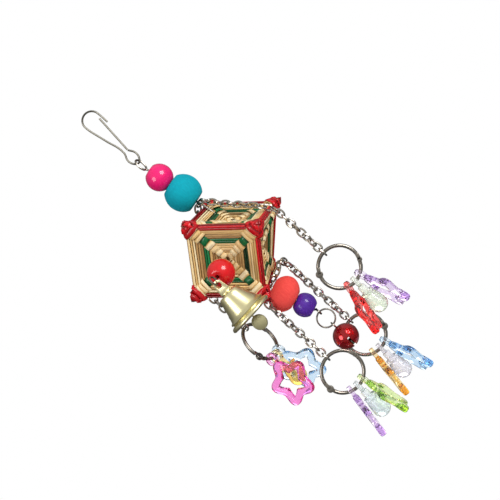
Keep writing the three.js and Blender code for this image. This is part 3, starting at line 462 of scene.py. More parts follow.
# Woven cube: strips of dried palm leaf wound round four sticks that cross at its middle. On each face
# the strips run from stick to stick in squares: natural in the middle, then green, natural and red, and
# where they turn they fold flat over the sticks. Each strip lies on the edge of the one inside it.
strip_rise = 0.45 * MM
strip_thickness = 0.22 * MM
strip_belly = 0.12 * MM
strip_tuck = 0.25 * MM
strip_reach = 0.99
strip_overlap, strip_jitter, strip_tilt, strip_sag = 1.1, 0.12, 0.012, 0.006
strip_lifts = (0.75, 1.35)
fold_overlap, fold_skew = 1.12, 0.02
fold_starts, fold_widths, fold_crests = (-0.1, 0.05), (0.85, 1.15), (0.85, 1.1)
fold_narrow, fold_growth = 0.45, 1.2
fold_clearance = 0.1 * MM
edge_overhang = 1.006
# The darkest tone, painted shade: on each strip's outer edge, tucked under the next strip, and on the
# backing sheets
painted_gap_shade = 0.05
# Painted shade: the core's strips keep this share of their tone, darker in the sunken middle of each face
core_painted_shade = 0.62
fold_tone = 0.35
fibre_shift = (3.7, 5.3)
backing_share = 0.97
backing_depth = 1.0 * MM
pit_share = 0.26
half_face = cube_half / MM
half_diagonal = 1.4 * half_face
face_right = across * cos(cube_roll) - UP * sin(cube_roll)
face_left = across * -sin(cube_roll) - UP * cos(cube_roll)
cube_skew = Vector((-4.4, 0, 4.9)) * MM
front_growth = 0.02
front_sag = Vector((0, 0, -1.3)) * MM
chance = random.Random(5)

# Each band: inner and outer edge as shares of the half face, strips in it, folds on each diagonal
bands = {
    "core": (0.05, 0.476, 6, 4),
    "green": (0.476, 0.616, 2, 1),
    "natural": (0.616, 0.87, 4, 3),
    "red": (0.87, 1.0, 2, 2),
}


def in_weave(left, right, forward):
    """A place from -1 to 1 along the cube's edges; the back lower corner is drawn in, the front sags."""
    pull = (1 + left) * (1 + right) * (1 - forward) / 8
    ahead = (1 + forward) / 2
    flat = (face_left * left + face_right * right) * (1 + front_growth * ahead)
    return cube_centre + (flat + front * forward) * cube_half + cube_skew * pull + front_sag * ahead


def on_face(axis, side, first, second, lift):
    """A place on a sunken face, raised by a lift; what reaches past an edge is folded over it."""
    level = min(max(abs(first), abs(second)), 1)
    rise = lift / cube_half
    height = 1 - pit_share * (1 - level) + rise
    place = [0, 0, 0]
    for spot, value in (((axis + 1) % 3, first), ((axis + 2) % 3, second)):
        if abs(value) > 1:
            height -= abs(value) - 1
            value = copysign(1 + rise, value)
        place[spot] = value
    place[axis] = side * height
    return in_weave(*place)


def flat_strip(along_steps, across_steps):
    """A flat strip two units square, to be copied and laid in its place."""
    grid = {"x_subdivisions": along_steps, "y_subdivisions": across_steps, "size": 2}
    return fresh("strip", bpy.ops.mesh.primitive_grid_add, **grid)


def copied(pattern):
    """A copy of an object with a mesh of its own."""
    piece = pattern.copy()
    piece.data = pattern.data.copy()
    bpy.context.collection.objects.link(piece)
    return piece


def laid(pattern, place_of, length, width, tone, number):
    """A copy of a flat strip with each point in its place and its fibres along it; its outer edge, which
    tucks under the next strip, gets painted shade.
    """
    piece = copied(pattern)
    for vertex in piece.data.vertices:
        vertex.co = place_of(vertex.co.x, (vertex.co.y + 1) / 2)
    along, over = [shift * number for shift in fibre_shift]
    for corner in piece.data.uv_layers[0].data:
        corner.uv = (corner.uv.x * length + along, corner.uv.y * width + over)
    shade = piece.data.attributes.new("tone", "FLOAT", "POINT")
    for entry, vertex in zip(shade.data, pattern.data.vertices):
        # Painted shade: the outer edge, tucked under the next strip, takes the darkest tone
        entry.value = tone if vertex.co.y < 0.5 else painted_gap_shade
    return piece


strip = flat_strip(8, 2)
backing = flat_strip(12, 12)
strips = {name: [] for name in bands}

# Each fold: inner and outer end on the diagonal, how far it reaches to each side, its height, its taper
# and how flat it is, from 0 for a round knot to 1 for a flat plate
folds = {
    "core": (0.05, 0.476, 0.135, 1.15, 0.1, 1),
    "green": (0.476, 0.616, 0.1, 1.3, 0.1, 1),
    "natural": (0.616, 0.87, 0.14, 1.6, 0.15, 1),
    "red": (0.8, 1.02, 0.2, 1.9, 0.65, 0),
}
number = 0
for axis, side in product(range(3), (-1, 1)):
    def on_backing(x, y):
        return on_face(axis, side, backing_share * x, backing_share * (2 * y - 1), -backing_depth)

    # Under each face a sheet in the darkest tone: painted shade where it shows between the strips
    strips["core"].append(laid(backing, on_backing, 2 * half_face, 2 * half_face, painted_gap_shade, 0))
    for name, (low, high, count, turns) in bands.items():
        step = (high - low) / count
        limit = high if high < 1 else edge_overhang
        for swap, way, i in product((False, True), (-1, 1), range(count)):
            number += 1
            inner = low + step * i + chance.uniform(-strip_jitter, strip_jitter) * step
            outer = low + step * (i + strip_overlap)
            tilt = chance.uniform(-strip_tilt, strip_tilt)
            lift = strip_rise * chance.uniform(*strip_lifts)
            sag = chance.uniform(-strip_sag, strip_sag)

            def on_strip(x, y):
                level = min(inner + (outer - inner) * y + tilt * x * (1 - y), limit)
                level += sag * (1 - x * x)
                first, second = way * level, x * min(level, 1) * strip_reach
                if swap:
                    first, second = second, first
                rise = lift * (1 - y) + strip_belly * (4 * y * (1 - y)) - strip_tuck * x ** 8
                return on_face(axis, side, first, second, rise)

            # The core's strips are darker: painted shade in the sunken middle of each face
            tone = chance.random() * (core_painted_shade if name == "core" else 1)
            length, width = 2 * half_face * inner, half_face * (outer - inner)
            laid_strip = laid(strip, on_strip, length, width, tone, number)
            # On the viewer's face the edge to the left is bound in natural strips, not in red ones
            bare = name == "red" and (axis, side, swap, way) == (2, 1, True, -1)
            strips["natural" if bare else name].append(laid_strip)
        low, high, reach, height, taper, flat = folds[name]
        span = (high - low) / turns
        for way, other, i in product((1, -1), (1, -1), range(turns)):
            number += 1
            inner = low + span * i + chance.uniform(*fold_starts) * span
            outer = low + span * (i + fold_overlap)
            skew = chance.uniform(-fold_skew, fold_skew)
            wide = reach * chance.uniform(*fold_widths) * min(1, fold_narrow + fold_growth * inner)
            crest = height * MM * chance.uniform(*fold_crests)

            def on_fold(x, y):
                middle, half = (inner + outer) / 2, (outer - inner) / 2
                level = middle + half * (2 * y - 1) * (1 - taper * x * x) + skew * x
                aside = x * wide
                valley = pit_share * abs(aside) * cube_half
                rise = crest * (1 - abs(x) ** (2 + 2 * flat)) - flat * valley
                rise += strip_rise * (1 - y) + fold_clearance
                return on_face(axis, side, way * (level + aside), other * (level - aside), rise)

            tone = fold_tone + (1 - fold_tone) * chance.random()
            length, width = 2 * half_diagonal * wide, half_diagonal * (outer - inner)
            strips[name].append(laid(strip, on_fold, length, width, tone, number))
for pattern in (strip, backing):
    bpy.data.objects.remove(pattern)

# The leaf's fine fibres run along each strip, and each strip has its own tone, both from 0 to 1.
# The tone is also lowered for painted shade: at strips' tucked edges, on the backing sheets and in the
# core.
fibre = noise_group("fibre", {"Fibre": ("UV", (0.09, 3.2, 1), 0, 3, 0.65)})
fibre.interface.new_socket("Tone", in_out="OUTPUT", socket_type="NodeSocketFloat")
strip_tone = add_node(fibre, "Attribute", attribute_name="tone")
connect(fibre, (strip_tone, "Fac", fibre.nodes["Group Output"], "Tone"))


def leaf(name, dark, middle, light, roughness, spread=0.12):
    """Dried leaf: its colour runs from dark to light by strip and by fibre, with a satin gloss; where the
    tone is lowered for painted shade it takes the dark end.
    """
    material = new_material(name, {})
    tree = material.node_tree
    shader = tree.nodes["Principled BSDF"]
    threads = add_node(tree, "Group", node_tree=fibre)
    blend = add_node(tree, "Mix", {"Factor": 0.38})
    shades = add_node(tree, "ValToRGB")
    first, last = shades.color_ramp.elements
    first.position, first.color = 0.14, dark
    last.position, last.color = 0.8, light
    shades.color_ramp.elements.new(0.42).color = middle
    polish = add_node(tree, "MapRange", {"To Min": roughness - spread, "To Max": roughness + spread})
    relief = add_node(tree, "Bump", {"Strength": 0.35, "Distance": 0.1 * MM})
    connect(
        tree,
        (threads, "Tone", blend, "A"),
        (threads, "Fibre", blend, "B"),
        (blend, "Result", shades, "Fac"),
        (shades, "Color", shader, "Base Color"),
        (threads, "Fibre", polish, "Value"),
        (polish, "Result", shader, "Roughness"),
        (threads, "Fibre", relief, "Height"),
        (relief, "Normal", shader, "Normal"),
    )
    return material


def joined(name, pieces):
    """Several pieces made into one object."""
    pick(*pieces)
    if len(pieces) > 1:
        bpy.ops.object.join()
    pieces[0].name = name
    return pieces[0]


def changed(obj, kind, **settings):
    """An object with a modifier applied."""
    change = obj.modifiers.new("change", kind)
    for setting, value in settings.items():
        setattr(change, setting, value)
    pick(obj)
    bpy.ops.object.modifier_apply(modifier="change")
    return obj


leaf_natural = leaf("natural_leaf", rgb(120, 70, 26), rgb(236, 194, 124), rgb(254, 236, 192), 0.36)
leaf_green = leaf("green_leaf", rgb(2, 30, 16), rgb(6, 92, 48), rgb(28, 132, 76), 0.27)
leaf_red = leaf("red_leaf", rgb(52, 0, 6), rgb(176, 6, 18), rgb(222, 18, 30), 0.24)
windings = {
    "core": ("straw_core", leaf_natural, "leaf_natural"),
    "green": ("green_winding", leaf_green, "leaf_green"),
    "natural": ("straw_winding", leaf_natural, "leaf_natural"),
    "red": ("red_winding", leaf_red, "leaf_red"),
}
for name, (node, material, slot) in windings.items():
    weave = tidy(joined(name + "_strips", strips[name]), 50)
    weave = changed(weave, "SOLIDIFY", thickness=strip_thickness, offset=-1)
    put(weave, material, slot, "wire", node)

# Diagonal sticks: four round wooden sticks crossed at the cube's middle; their sawn ends show at the
# corners, between the red folds.
stick_radius = 1.25 * MM
stick_proud = 1.4 * MM
stick_bevel = 0.25 * MM
stick_dent, stick_heart = 0.08 * MM, 0.05 * MM
stick_paint = painted_wood("stick_wood", rgb(196, 158, 102), rgb(138, 98, 54), 0.7, 0, 0.4)
sticks = []
for corner in product((-1, 1), repeat=3):
    way = in_weave(*corner) - cube_centre
    reach = way.length + stick_proud
    outline = [(pole, 0), (stick_radius, 0), (stick_radius, reach - stick_bevel),
               (0.85 * stick_radius, reach), (0.3 * stick_radius, reach - stick_dent),
               (pole, reach - stick_heart)]
    sticks.append(turned("stick", outline, cube_centre, way.normalized(), steps=14))
put(joined("sticks", sticks), stick_paint, "stick_wood", "wire", "diagonal_sticks")

# Chains: links of round nickel-plated steel wire, each bent to an oval and standing crosswise to the
# next. Both drapes hang on the main wire by their middle link and lie over the cube and past the coral
# bead; four loose runs hang from their ends.
link_wire = 1.1 * MM
link_length = 6.3 * MM
link_width = 4.7 * MM
link_twist = radians(40)
link_curl = radians(3)
link_corners = 12
link_half = (link_length - link_wire) / 2
link_round = (link_width - link_wire) / 2
chain_steel = surface("chain_plate", rgb(214, 209, 200), rgb(160, 153, 143), 0.22, 0.05, metallic=1)
link_points = []
for step in range(link_corners):
    sweep = 2 * pi * (step + 0.5) / link_corners
    x = link_round * cos(sweep) + copysign(link_half - link_round, cos(sweep))
    y = link_round * sin(sweep)
    curl = link_curl * x / link_half
    link_points.append(Vector((x, y * cos(curl), y * sin(curl))))
one_link = bent_wire("link", link_points, link_wire, closed=True, steps=2)


def smooth_way(points, samples=400):
    """Places along a smooth line through points, closely spaced."""
    ends = [points[0] * 2 - points[1]] + points + [points[-1] * 2 - points[-2]]
    places = []
    for sample in range(samples + 1):
        where = (len(points) - 1) * sample / samples
        i = min(int(where), len(points) - 2)
        t = where - i
        before, start, end, after = ends[i:i + 4]
        back, ahead, beyond = start - before, end - start, after - end
        back_root, root, beyond_root = [sqrt(part.length) for part in (back, ahead, beyond)]
        leave = (back / back_root - (back + ahead) / (back_root + root) + ahead / root) * root
        reach = (ahead / root - (ahead + beyond) / (root + beyond_root) + beyond / beyond_root) * root
        square = ahead * 3 - leave * 2 - reach
        cubic = leave + reach - ahead * 2
        places.append(start + leave * t + square * t * t + cubic * t ** 3)
    return places


def link_joints(places, start, count, step):
    """The joints of so many links, one step apart, along closely spaced places."""
    joints = [start]
    for place in places:
        if len(joints) <= count and (place - joints[-1]).length >= step:
            joints.append(joints[-1] + (place - joints[-1]).normalized() * step)
    return joints


def link_turns(steps, start, end):
    """The turn of each link about its run, from a start to an end; neighbours stand crosswise."""
    swing = [link_twist * (1 if i % 2 == 0 else -1) for i in range(steps + 1)]
    shares = [2 * i / steps - 1 for i in range(steps + 1)]
    first = start - swing[0]
    last = (end - swing[-1] + pi / 2) % pi - pi / 2
    return [lean + share * (last if share > 0 else -first) for lean, share in zip(swing, shares)]


def chain(name, joints, width_of, body):
    """A run of links from joint to joint, each with its own width direction."""
    links = []
    for i, (start, end) in enumerate(zip(joints, joints[1:])):
        run = (end - start).normalized()
        width = width_of(i)
        width = (width - run * width.dot(run)).normalized()
        link = copied(one_link)
        link.data.transform(placing((start + end) / 2, run, width, run.cross(width)))
        links.append(link)
    return put(joined(name + "_links", links), chain_steel, "nickel_steel", body, name)


def drape(name, middle, way, routes, count, step, flat_width):
    """A chain draped both ways from the link on the main wire."""
    halves = []
    for side, route in zip((-1, 1), routes):
        start = middle + way * (side * step / 2)
        halves.append(link_joints(smooth_way([start] + route), start, count, step))
    joints = halves[0][::-1] + halves[1]
    turns = link_turns(count, link_twist, 0)

    def width_of(i):
        start, end = joints[i:i + 2]
        return Matrix.Rotation(turns[abs(i - count)], 3, end - start) @ flat_width((start + end) / 2)

    chain(name, joints, width_of, "wire")


edge_reach = 28.284
seat = 2.99
hang_gap = 0.6
upper_depth = -8
upper_hang, lower_lift = 2.1 * MM, 2.3 * MM
upper_count, upper_step = 12, 3.9 * MM
lower_count, lower_step = 6, 4.0 * MM
lower_slope = radians(14.3)
bead_seat = beads["coral"][0] / 2 + seat
lift = seat * sqrt(0.5)
upper_routes = []
for side, forward in ((-1, 3), (1, -2)):
    route = []
    for share, depth in ((0.33, upper_depth), (0.66, (forward + upper_depth) / 2), (0.93, forward)):
        route.append(in_cube(side * (share * edge_reach + lift), (1 - share) * edge_reach + lift, depth))
    for drop in (0.1, 0.6):
        route.append(in_cube(side * (edge_reach + seat + hang_gap), -drop * edge_reach, forward))
    upper_routes.append(route)
upper_middle = (turquoise_foot + wire_entry) / 2
upper_middle.z = turquoise_foot.z - upper_hang
drape("upper_chain", upper_middle, across, upper_routes, upper_count, upper_step, lambda place: front)


def past_bead(turn, out, up):
    """A place beside the coral bead: the turn about it, then out and up as shares of the chain's seat."""
    sweep = radians(turn)
    return coral_place + Vector((out * cos(sweep), out * sin(sweep), up)) * bead_seat * MM


def round_bead(place):
    """The level direction along the coral bead's side."""
    way = Vector((place.x - coral_place.x, place.y - coral_place.y, 0)).normalized()
    return UP.cross(way)


lower_routes = []
for spots in (
        ((195, 0.56, 0.62), (208, 0.78, 0.56), (218, 0.94, 0.24), (222, 0.99, -0.15), (222, 1, -0.7)),
        ((-2, 0.5, 0.8), (10, 0.82, 1), (26, 1.09, 0.95), (37, 1.28, 0.55), (38, 1.3, 0))):
    lower_routes.append([past_bead(*spot) for spot in spots])
lower_middle = coral_top + (wire_exit - coral_top).normalized() * lower_lift
lower_way = Vector((1, 0, tan(lower_slope))).normalized()
drape("lower_chain", lower_middle, lower_way, lower_routes, lower_count, lower_step, round_bead)

# Each loose run: its links and its length in millimetres, from a little above its pivot
hanging_runs = {"right": (9, 34.5), "left": (9, 34.5), "lower_right": (12, 46), "lower_left": (9, 34.5)}
above_pivot = 0.975
for name, (count, length) in hanging_runs.items():
    pivot, axis = joint_place[name + "_chain_swing"], joint_axis[name + "_chain_swing"]
    outward = UP.cross(axis)
    ring_way = UP.cross(joint_axis[name + "_ring_swing"])
    joints = [pivot + UP * (above_pivot - length * i / count) * MM for i in range(count + 1)]
    ring_turn = atan2(outward.cross(ring_way).dot(UP), outward.dot(ring_way))
    turns = link_turns(count - 1, 0, ring_turn)

    def hanging_width(i):
        return Matrix.Rotation(turns[i], 3, UP) @ outward

    chain(name + "_chain", joints, hanging_width, name + "_chain")
bpy.data.objects.remove(one_link)

# Bell wire: a thinner steel wire that is hooked through the cube and comes out of its front face,
# through the red bead, to an eye that carries the bell.
bell_eye_radius = 2.5 * MM
bell_eye_centre = in_cube(0, -3.3, 45)
red_place = joint_place["red_bead_spin"]
red_half = front * (beads["red"][1] / 2 * MM)
bell_points = [
    in_cube(2.35, -8.35, -18.4),
    in_cube(2.35, -3.95, -17.2),
    in_cube(2.35, -2.35, -14.8),
    in_cube(2.35, -2.35, 2),
    in_cube(1.18, -2.97, 14.8),
    red_place - red_half,
    red_place + red_half,
]
bell_eye = around(bell_eye_centre, front * -bell_eye_radius, UP * bell_eye_radius)
bell_points += bell_eye + bell_eye[:1]
bell_hook = bent_wire("bell_wire_bent", bell_points, bell_wire, steps=4)
put(bell_hook, steel, "nickel_steel", "wire", "bell_wire")

# Hinged rings: binder rings of nickel-plated steel, each of two half rings. Their flattened ends lie
# side by side, riveted together at the hinge and snapped together at the other side.
ring_radius = 11.5 * MM
ring_wire = 2 * MM
ring_gap = 0.3 * MM
tab_radius, snap_radius = 2 * MM, 1.35 * MM
tab_round = 0.2 * MM
tab_thickness = (ring_wire - ring_gap) / 2
tab_turn = degrees((tab_radius + 0.7 * MM) / ring_radius)
neck_width = 2.1 * MM
neck_turn = 5
rivet_radius, rivet_length, rivet_hole = 0.6 * MM, 2.2 * MM, 0.9 * MM
head_radius, head_thickness = 1.15 * MM, 0.5 * MM
rivet_in, head_out = 0.5 * MM, 0.55 * MM
fine_round = 0.1 * MM
ring_hinges = {"right": 153, "left": 204, "lower_right": -25, "lower_left": 187}


def block(name, size, place, x_axis, z_axis, rounding):
    """A small block with rounded edges, its length along one direction and its height along another."""
    obj = fresh(name, bpy.ops.mesh.primitive_cube_add, size=1)
    bpy.ops.object.mode_set(mode="EDIT")
    bpy.ops.mesh.select_all(action="SELECT")
    bpy.ops.transform.resize(value=size)
    bpy.ops.mesh.bevel(offset=rounding, segments=2, affect="EDGES")
    bpy.ops.object.mode_set(mode="OBJECT")
    x = x_axis.normalized()
    z = (z_axis - x * z_axis.dot(x)).normalized()
    obj.data.transform(placing(place, x, z.cross(x), z))
    return tidy(obj)


def disc(name, place, axis, radius, thickness, rounding, steps=20, hole=0.0):
    """A round plate with rounded rims, whole or with a hole, its middle at a place."""
    half, inner = thickness / 2, hole or pole
    bevel = 0.3 * rounding
    rim = [(radius - rounding, half), (radius - bevel, half - bevel), (radius, half - rounding)]
    outline = [(inner, -half)] + [(out, -height) for out, height in rim] + rim[::-1] + [(inner, half)]
    return turned(name, outline + outline[:1] if hole else outline, place, axis, steps=steps)


ring_at = {}
for name, hinge in ring_hinges.items():
    reach = joint_axis[name + "_ring_swing"]
    normal = reach.cross(UP)
    centre = joint_place[name + "_ring_swing"] - UP * ring_radius

    def at(turn, centre=centre, reach=reach):
        sweep = radians(turn)
        return centre + reach * (ring_radius * cos(sweep)) + UP * (ring_radius * sin(sweep))

    ring_at[name] = at
    close = hinge + (-180 if hinge > 90 else 180)
    low, high = min(hinge, close), max(hinge, close)
    halves = {"upper": (low, high, 1), "lower": (high, low + 360, -1)}
    for half, (start, end, side) in halves.items():
        points = [at(start + tab_turn + (end - start - 2 * tab_turn) * i / 12) for i in range(13)]
        pieces = [bent_wire("half_ring", points, ring_wire, sides=4, steps=4)]
        for turn, way in ((start, 1), (end, -1)):
            middle = at(turn) + normal * (side * (ring_gap + tab_thickness) / 2)
            riveted = turn % 360 == hinge % 360
            width = tab_radius if riveted else snap_radius
            hole = rivet_hole if riveted and half == "lower" else 0.0
            pieces.append(disc("tab", middle, normal, width, tab_thickness, tab_round, hole=hole))
            run = at(turn + way * (tab_turn + neck_turn)) - at(turn)
            size = (run.length - hole, neck_width, tab_thickness)
            neck_place = middle + run.normalized() * (run.length + hole) / 2
            pieces.append(block("neck", size, neck_place, run, normal, tab_round))
        if half == "upper":
            back = at(hinge) - normal * ring_wire / 2
            rivet, head = back + normal * rivet_in, back - normal * head_out
            pieces.append(disc("rivet", rivet, normal, rivet_radius, rivet_length, fine_round, 12))
            pieces.append(disc("rivet_head", head, normal, head_radius, head_thickness, tab_round, 16))
        body = name + "_ring_" + half
        put(joined(body + "_half", pieces), steel, "nickel_steel", body, body)

# Charms: moulded clear acrylic in twelve tints, three loose on each ring. Two are star frames with a
# star-shaped window, and between them hangs a bulb with a flat oval shield.
charm_hole = 2.4 * MM
charm_loop = 3.8 * MM
charm_drop = 0.7 * MM
charm_turns = (-114, -90, -67)
eye_thickness, eye_round = 2.4 * MM, 0.5 * MM
bore_length = 8 * MM
star_drop = 16.2 * MM
star_radius, star_wave = 11.9 * MM, 2.0 * MM
star_thickness, star_round = 3.6 * MM, 1.2 * MM
window_radius, window_wave = 5.0 * MM, 4.2 * MM
star_points, frame_steps, window_steps = 5, 80, 30


def flat_shape(name, outlines, thickness, rounding):
    """A plate cut to outlines, the first its edge and the others its holes, with rounded edges."""
    curve = fresh(name, bpy.ops.curve.primitive_bezier_circle_add).data
    curve.splines.clear()
    curve.dimensions = "2D"
    curve.fill_mode = "BOTH"
    for outline in outlines:
        spline = curve.splines.new("POLY")
        spline.points.add(len(outline) - 1)
        for knot, (x, y) in zip(spline.points, outline):
            knot.co = (x, y, 0, 1)
        spline.use_cyclic_u = True
    curve.extrude = thickness / 2 - rounding
    curve.bevel_depth = rounding
    curve.bevel_resolution = 2
    curve.offset = -rounding
    bpy.ops.object.convert(target="MESH")
    return tidy(bpy.context.object)


def circle(radius, count=32):
    """Points round a circle."""
    sweeps = [2 * pi * i / count for i in range(count)]
    return [(radius * cos(sweep), radius * sin(sweep)) for sweep in sweeps]


def cut_or_add(obj, other, operation):
    """One piece cut by another or made one with it; the other is used up."""
    changed(obj, "BOOLEAN", operation=operation, object=other, solver="EXACT")
    bpy.data.objects.remove(other)
    return tidy(obj)


def with_eye(charm):
    """A charm with the flat eye that it hangs by, bored through."""
    charm = cut_or_add(charm, flat_shape("eye", [circle(charm_loop)], eye_thickness, eye_round), "UNION")
    bore = disc("bore", Vector(), UP, charm_hole, bore_length, fine_round, 32)
    return cut_or_add(charm, bore, "DIFFERENCE")


frame_edge, window = [], []
for i in range(frame_steps):
    sweep = 2 * pi * i / frame_steps
    radius = star_radius + star_wave * cos(star_points * sweep)
    frame_edge.append((radius * sin(sweep), radius * cos(sweep) - star_drop))
for i in range(window_steps):
    sweep = 2 * pi * i / window_steps
    share = abs((i % 6) - 3) / 3
    radius = window_radius + window_wave * share ** 1.5
    window.append((radius * sin(sweep), radius * cos(sweep) - star_drop))
star = with_eye(flat_shape("star", [frame_edge, window], star_thickness, star_round))

stem_radius, stem_top, stem_foot = 2.2 * MM, -3.0 * MM, -8.8 * MM
bulb_radius, bulb_end = 5.2 * MM, -21.2 * MM
bulb_shoulder = ((3.5 * MM, 0), (3.9 * MM, 1.0 * MM), (4.35 * MM, 2.4 * MM))
shield_width, shield_depth, shield_thickness = 6.5, 3.8, 1.8 * MM
shield_place = Vector((0, -7.9 * MM, 0))
outline = [(pole, stem_top), (stem_radius, stem_top), (stem_radius, stem_foot)]
outline += [(radius, stem_foot - drop) for radius, drop in bulb_shoulder]
for i in range(13):
    sweep = radians(26 - 115 * i / 12)
    outline.append((bulb_radius * cos(sweep), bulb_end + bulb_radius * (1 + sin(sweep))))
outline.append((pole, bulb_end))
bulb = turned("bulb", outline, Vector(), UP, steps=36)
bulb.data.transform(Matrix.Rotation(radians(-90), 4, "X"))
shield_edge = [(x * shield_width, y * shield_depth) for x, y in circle(1 * MM, count=40)]
shield = flat_shape("shield", [shield_edge], shield_thickness, eye_round)
shield.data.transform(Matrix.Translation(shield_place) @ Matrix.Rotation(radians(90), 4, "X"))
bulb = with_eye(cut_or_add(bulb, shield, "UNION"))


def acrylic(name, tint, depth, haze):
    """Clear acrylic that is tinted all through, so that it is deeper in colour where it is thicker."""
    pale = [0.8 + 0.2 * channel for channel in tint[:3]] + [1]
    material = surface(name, (1, 1, 1, 1), pale, 0.06, 0.03)
    tree = material.node_tree
    set_inputs(tree.nodes["Principled BSDF"], {"Transmission Weight": 1 - haze, "IOR": 1.45})
    inside = add_node(tree, "VolumeAbsorption", {"Color": tint, "Density": depth})
    connect(tree, (inside, "Volume", tree.nodes["Material Output"], "Volume"))
    return material


# Each charm: its lean and twist in degrees, its tint, how deep the tint is and how milky the acrylic is
charms = {
    "right": {
        "red_star": (-13, 16, (252, 66, 30), 560, 0.03),
        "green_bulb": (-1, 0, (215, 246, 180), 45, 0.4),
        "lilac_star": (12, -14, (196, 108, 234), 64, 0.03),
    },
    "left": {
        "pink_star": (-11, 0, (250, 60, 222), 320, 0.03),
        "yellow_bulb": (-1, 0, (252, 231, 20), 260, 0.1),
        "sky_star": (11, 0, (60, 200, 251), 84, 0.03),
    },
    "lower_right": {
        "orange_star": (-9, 0, (252, 222, 20), 200, 0.03),
        "clear_bulb": (-1, 0, (230, 222, 248), 40, 0.4),
        "blue_star": (12, -14, (56, 196, 249), 90, 0.03),
    },
    "lower_left": {
        "violet_star": (-11, 0, (200, 108, 234), 60, 0.03),
        "aqua_bulb": (-1, 0, (200, 242, 250), 40, 0.4),
        "lime_star": (9, 8, (210, 241, 20), 150, 0.03),
    },
}
for ring, three in charms.items():
    reach = joint_axis[ring + "_ring_swing"]
    for (name, (lean, twist, tint, depth, haze)), turn in zip(three.items(), charm_turns):
        lean = radians(lean)
        down = reach * sin(lean) - UP * cos(lean)
        plain_normal = reach * cos(lean) + UP * sin(lean)
        normal = Matrix.Rotation(radians(twist), 3, down) @ plain_normal
        charm = copied(bulb if name.endswith("bulb") else star)
        charm.name = name + "_charm"
        hole = ring_at[ring](turn) + down * charm_drop
        charm.data.transform(placing(hole, (-down).cross(normal), -down, normal))
        put(charm, acrylic(name + "_tint", rgb(*tint), depth, haze), name + "_acrylic", name, name)
bpy.data.objects.remove(star)
bpy.data.objects.remove(bulb)

# Brass bell: a spun shell with a ridge above its lip, hung by a pressed strip that is riveted through
# the crown and ends inside in an eye for the clapper, a flat disc on a wire.
bell_top = joint_place["bell_swing"]
strip_hole = bell_top - UP * 0.9 * MM
crown = strip_hole - UP * 5.9 * MM
brass = surface("bell_brass", rgb(250, 242, 198), rgb(234, 222, 168), 0.3, 0.05, metallic=1)
bell_section = [
    (2.2, 0), (5.0, 0), (5.9, -0.3), (6.4, -1.0), (6.75, -2.5), (7.45, -5), (8.4, -8), (9.5, -11),
    (10.1, -12.4), (10.85, -12.7), (11.25, -13.2), (11.1, -13.7), (10.5, -13.95), (10.4, -14.3),
    (11.2, -14.5), (12.1, -14.8), (12.7, -15.4), (12.9, -16.1), (12.7, -16.7), (12.2, -17), (11.6, -16.8),
    (11.0, -15.8), (10.0, -14.5), (9.3, -12.7), (8.6, -10.8), (7.5, -7.8), (6.6, -4.8), (5.9, -2.5),
    (5.4, -1.5), (4.6, -0.9), (2.2, -0.8), (2.2, 0),
]
bell = turned("bell_spun", [(r * MM, h * MM) for r, h in bell_section], crown, UP, steps=64, angle=50)
put(bell, brass, "bell_brass", "bell", "bell_shell")

hanger_half, hanger_foot = 3.6 * MM, -5.6 * MM
hanger_thickness, hanger_round, hanger_bore = 0.8 * MM, 0.15 * MM, 1.7 * MM
plate_radius, plate_thickness = 3.4 * MM, 0.7 * MM
inner_eye_radius = 1.8 * MM
loop_wire = 0.9 * MM
hanger_edge = [(hanger_half, hanger_foot)]
for i in range(13):
    sweep = radians(-5 + 190 * i / 12)
    hanger_edge.append((2.9 * MM * cos(sweep), 3.05 * MM * sin(sweep)))
hanger_edge.append((-hanger_half, hanger_foot))
hanger = flat_shape("strip", [hanger_edge, circle(hanger_bore)], hanger_thickness, hanger_round)
hanger.data.transform(placing(strip_hole, across, UP, -front))
eye_ring = around(crown - UP * 5.2 * MM, UP * inner_eye_radius, front * inner_eye_radius)
hanger_pieces = [
    hanger,
    disc("flange", crown + UP * 0.65 * MM, UP, plate_radius, plate_thickness, tab_round, 28),
    disc("shank", crown - UP * 0.4 * MM, UP, 1.9 * MM, 2.0 * MM, fine_round),
    disc("washer", crown - UP * 1.45 * MM, UP, plate_radius, plate_thickness, tab_round, 28),
    bent_wire("stem", [crown - UP * 1.4 * MM, crown - UP * 3.7 * MM], 1.6 * MM),
    bent_wire("inner_eye", eye_ring, loop_wire, closed=True, steps=3),
]
put(joined("bell_strip", hanger_pieces), brass, "bell_brass", "bell", "bell_hanger")

clapper_brass = surface("clapper_brass", rgb(232, 226, 180), rgb(204, 196, 150), 0.5, 0.08, metallic=1)
clapper_top = joint_place["clapper_swing"]
clapper_rise, clapper_side = UP * 1.7 * MM, across * 1.5 * MM
clapper_radius, clapper_thickness, clapper_round = 4.3 * MM, 1.6 * MM, 0.4 * MM
clapper_loop = around(clapper_top - clapper_rise, clapper_rise, clapper_side)
clapper_place = crown - UP * 22.3 * MM
clapper_ends = [clapper_top - clapper_rise * 2, clapper_place + UP * 3.6 * MM]
clapper_pieces = [
    bent_wire("clapper_loop", clapper_loop, loop_wire, closed=True, steps=3),
    bent_wire("clapper_wire", clapper_ends, loop_wire),
    disc("clapper_disc", clapper_place, front, clapper_radius, clapper_thickness, clapper_round, 36),
]
put(joined("clapper_bent", clapper_pieces), clapper_brass, "clapper_brass", "clapper", "bell_clapper")

# Split ring: spring steel wire wound in two close turns, like a key ring. It was sprung open to go
# through the main wire's lower eye, and the jingle bell's loop hangs in it.
split_wire = 0.9 * MM
split_radius = 5.1 * MM
split_pitch = 1.35 * MM
split_steps = 24
split_centre = joint_place["split_ring_swing"] - UP * split_radius + behind * 0.25 * split_pitch
coil_points = []
for i in range(2 * split_steps + 1):
    sweep = 2 * pi * i / split_steps
    along = (i / split_steps - 1) * split_pitch
    coil_place = Vector((split_radius * cos(sweep), along, split_radius * sin(sweep)))
    coil_points.append(split_centre + coil_place)
coil = bent_wire("split_coil", coil_points, split_wire, sides=3, steps=3)
put(coil, steel, "nickel_steel", "split_ring", "split_ring")

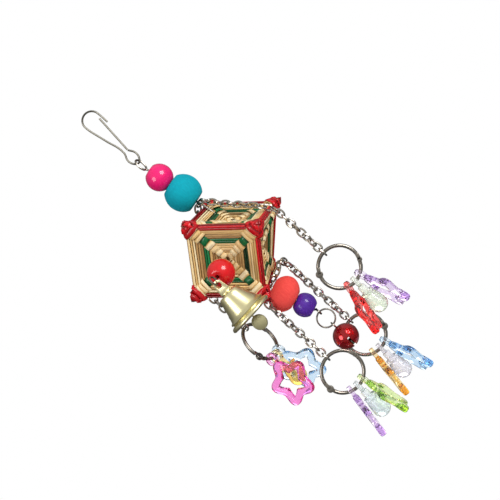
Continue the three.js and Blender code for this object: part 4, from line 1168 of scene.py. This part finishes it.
# Jingle bell: a pressed ball of two domes with crossed slits below, lacquered clear red over bright
# metal, with a steel loop on top and a loose steel pellet inside.
jingle_top = joint_place["jingle_bell_swing"]
jingle_radius = 7.25 * MM
jingle_wall = 0.8 * MM
jingle_seam = 0.1 * MM
jingle_centre = jingle_top - UP * 10.8 * MM
slit_width, slit_length, slit_round = 1.4 * MM, 40 * MM, 0.3 * MM
slit_place = jingle_centre - UP * (jingle_radius / 2 + 0.6 * MM)


def ball_outline(radius, belt, cap, steps, skip):
    """Half the section of a ball with a raised belt, from cap to cap."""
    outline = [(pole, cap)]
    for i in range(skip, steps - skip + 1):
        sweep = pi * i / steps
        wide = radius + belt if 2 * i == steps else radius
        outline.append((wide * sin(sweep), radius * cos(sweep)))
    return outline + [(pole, -cap)]


jingle_outline = ball_outline(jingle_radius, jingle_seam, jingle_radius, 24, 1)
jingle = turned("jingle_ball", jingle_outline, jingle_centre, UP, steps=48)
jingle = changed(jingle, "SOLIDIFY", thickness=jingle_wall, offset=-1)
for way in (Vector((1, 0, 0)), behind):
    slit = block("slit", (slit_length, slit_width, jingle_radius), slit_place, way, UP, slit_round)
    jingle = cut_or_add(jingle, slit, "DIFFERENCE")
lacquer = surface("red_lacquer", rgb(206, 14, 26), rgb(158, 4, 14), 0.2, 0.05, metallic=0.75, coat=0.8)
put(jingle, lacquer, "jingle_lacquer", "jingle_bell", "jingle_bell")

loop_rise, loop_side = UP * 1.8 * MM, behind * 2.5 * MM
loop_points = around(jingle_top - loop_rise, loop_rise, loop_side)
loop = bent_wire("jingle_loop", loop_points, 1 * MM, closed=True, steps=3)
loop.data.materials.append(steel)
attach(loop, "jingle_bell")

pellet_low, pellet_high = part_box("jingle_pellet")
pellet_radius = (pellet_high.x - pellet_low.x) / 2
pellet_outline = ball_outline(0.98 * pellet_radius, 0.02 * pellet_radius, 0.97 * pellet_radius, 16, 2)
pellet = turned("pellet_ball", pellet_outline, (pellet_low + pellet_high) / 2, UP, steps=24)
put(pellet, steel, "nickel_steel", "pellet", "jingle_pellet")
